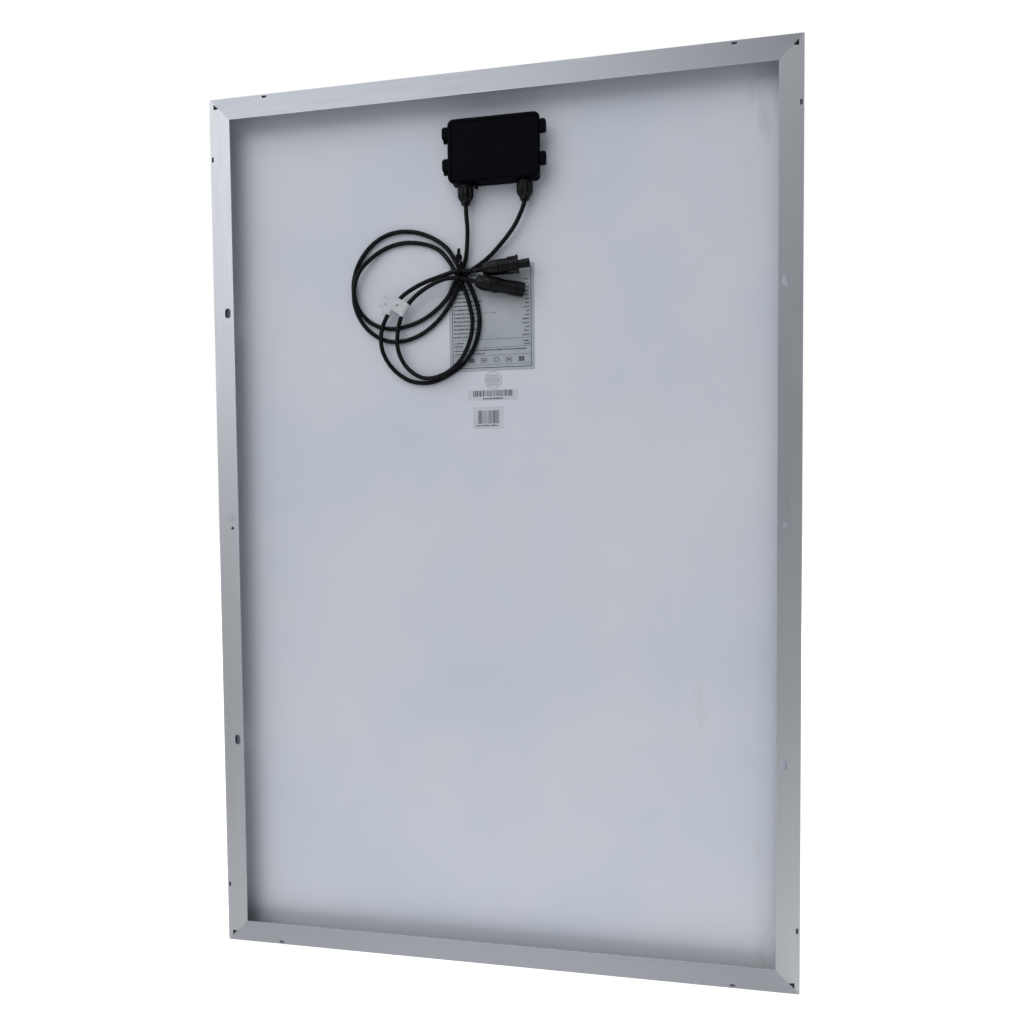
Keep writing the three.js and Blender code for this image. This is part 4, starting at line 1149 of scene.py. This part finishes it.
# The camera's angles are in degrees: heading to the left of +Y, pitch upward, roll clockwise.
CAMERA = {
    "place": (0.156, -0.912, 0.535), "lens": 28.125, "sensor": 36.0, "shift": (0.0331, 0.0247),
    "heading": 10.78, "pitch": -2.31, "roll": 0.63,
}
SKY = {"towards": (-0.8, -0.1, 0.58), "low": (0.053, 0.06, 0.073), "high": (0.571, 0.58, 0.603)}
LIGHTS = {
    "key": {"place": (-2.9, -4.6, 4.7), "size": 8.6, "power": 190, "colour": (0.97, 0.98, 1.0)},
    "front": {"place": (1.2, 2.2, 1.9), "size": 2.0, "power": 40, "colour": (1.0, 1.0, 1.0)},
}


def make_camera():
    """The camera at the photograph's viewing angle."""
    data = bpy.data.cameras.new("camera")
    data.lens = CAMERA["lens"]
    data.sensor_width = CAMERA["sensor"]
    data.shift_x, data.shift_y = CAMERA["shift"]
    camera = new_piece("camera", data)
    heading, pitch, roll = (math.radians(CAMERA[key]) for key in ("heading", "pitch", "roll"))
    turn = (Matrix.Rotation(heading, 4, "Z") @ Matrix.Rotation(math.pi / 2 + pitch, 4, "X")
            @ Matrix.Rotation(-roll, 4, "Z"))
    camera.matrix_world = Matrix.Translation(CAMERA["place"]) @ turn
    bpy.context.scene.camera = camera


def area_light(name, place, size, power, colour):
    """A soft round light that faces the module's middle and isn't seen itself."""
    data = bpy.data.lights.new(name, "AREA")
    data.shape = "DISK"
    data.size = size
    data.energy = power
    data.color = colour
    light = new_piece(name, data)
    light.location = place
    light.rotation_euler = (CENTRE - Vector(place)).to_track_quat("-Z", "Y").to_euler()
    light.visible_camera = False


def make_world():
    """A soft sky, brightest up on the left, that the camera sees as a pale wall."""
    world = bpy.data.worlds.new("studio")
    bpy.context.scene.world = world
    world.use_nodes = True
    tree = world.node_tree
    direction = add_node(tree, "TexCoord").outputs["Generated"]
    towards = Vector(SKY["towards"]).normalized()
    way = add_node(tree, "VectorMath", {0: direction, 1: towards}, operation="DOT_PRODUCT")
    spread = add_node(tree, "MapRange", {"Value": way.outputs["Value"], "From Min": -0.5},
                      interpolation_type="SMOOTHSTEP")
    blend = add_node(tree, "Mix", {0: spread.outputs[0], 6: (*SKY["low"], 1),
                                   7: (*SKY["high"], 1)}, data_type="RGBA")
    sky = tree.nodes["Background"]
    tree.links.new(blend.outputs[2], sky.inputs["Color"])
    wall = add_node(tree, "Background", {"Color": (1, 1, 1, 1)})
    seen = add_node(tree, "LightPath").outputs["Is Camera Ray"]
    mix = add_node(tree, "MixShader", {0: seen, 1: sky.outputs[0], 2: wall.outputs[0]})
    tree.links.new(mix.outputs[0], tree.nodes["World Output"].inputs["Surface"])


def make_floor():
    """A pale floor that fades into the wall far from the module."""
    mesh = bmesh.new()
    bmesh.ops.create_circle(mesh, cap_ends=True, segments=96, radius=12)
    data = bpy.data.meshes.new("studio_floor")
    mesh.to_mesh(data)
    mesh.free()
    floor = new_piece("studio_floor", data)
    finish = Finish("studio_floor", Roughness=0.9)
    finish.shader.inputs["Base Color"].default_value = (0.7, 0.7, 0.7, 1)
    # The far floor glows for the camera only, so that it meets the pale wall without a line.
    away = finish.add("VectorMath", {0: finish.place}, operation="LENGTH").outputs["Value"]
    seen = finish.add("LightPath").outputs["Is Camera Ray"]
    glow = finish.sum("MULTIPLY", seen, finish.between(away, 0.55, 1.0, 0.5, 2.0))
    # Close to the module it also sends some light back up onto the lower flange.
    spill = finish.between(away, 0.36, 0.0, 0.1, 1.1)
    finish.drive("Emission Strength", finish.sum("ADD", glow, spill))
    finish.shader.inputs["Emission Color"].default_value = (1, 1, 1, 1)
    floor.data.materials.append(finish.material)


def make_studio():
    """The camera, the sky, the floor and two lights."""
    scene = bpy.context.scene
    scene.view_settings.view_transform = "Standard"
    scene.view_settings.look = "None"
    make_camera()
    make_world()
    make_floor()
    for name, light in LIGHTS.items():
        area_light(name, **light)


make_studio()
dress_nodes()
make_lid()
make_base()
for side in ("left", "right"):
    make_gland_cap(side)
socket_nut, plug_nut = (make_coupler_nut(kind) for kind in ("socket", "plug"))
socket, plug = make_socket(), make_plug()
tie = make_tie()
tag_pieces = {side: make_tag(side) for side in TAGS}
make_cable("cable_left")
make_cable("cable_right")
make_rating_print()
make_barcode_prints()
make_sticker_print()
make_ground_mark()
make_cell_tabs()
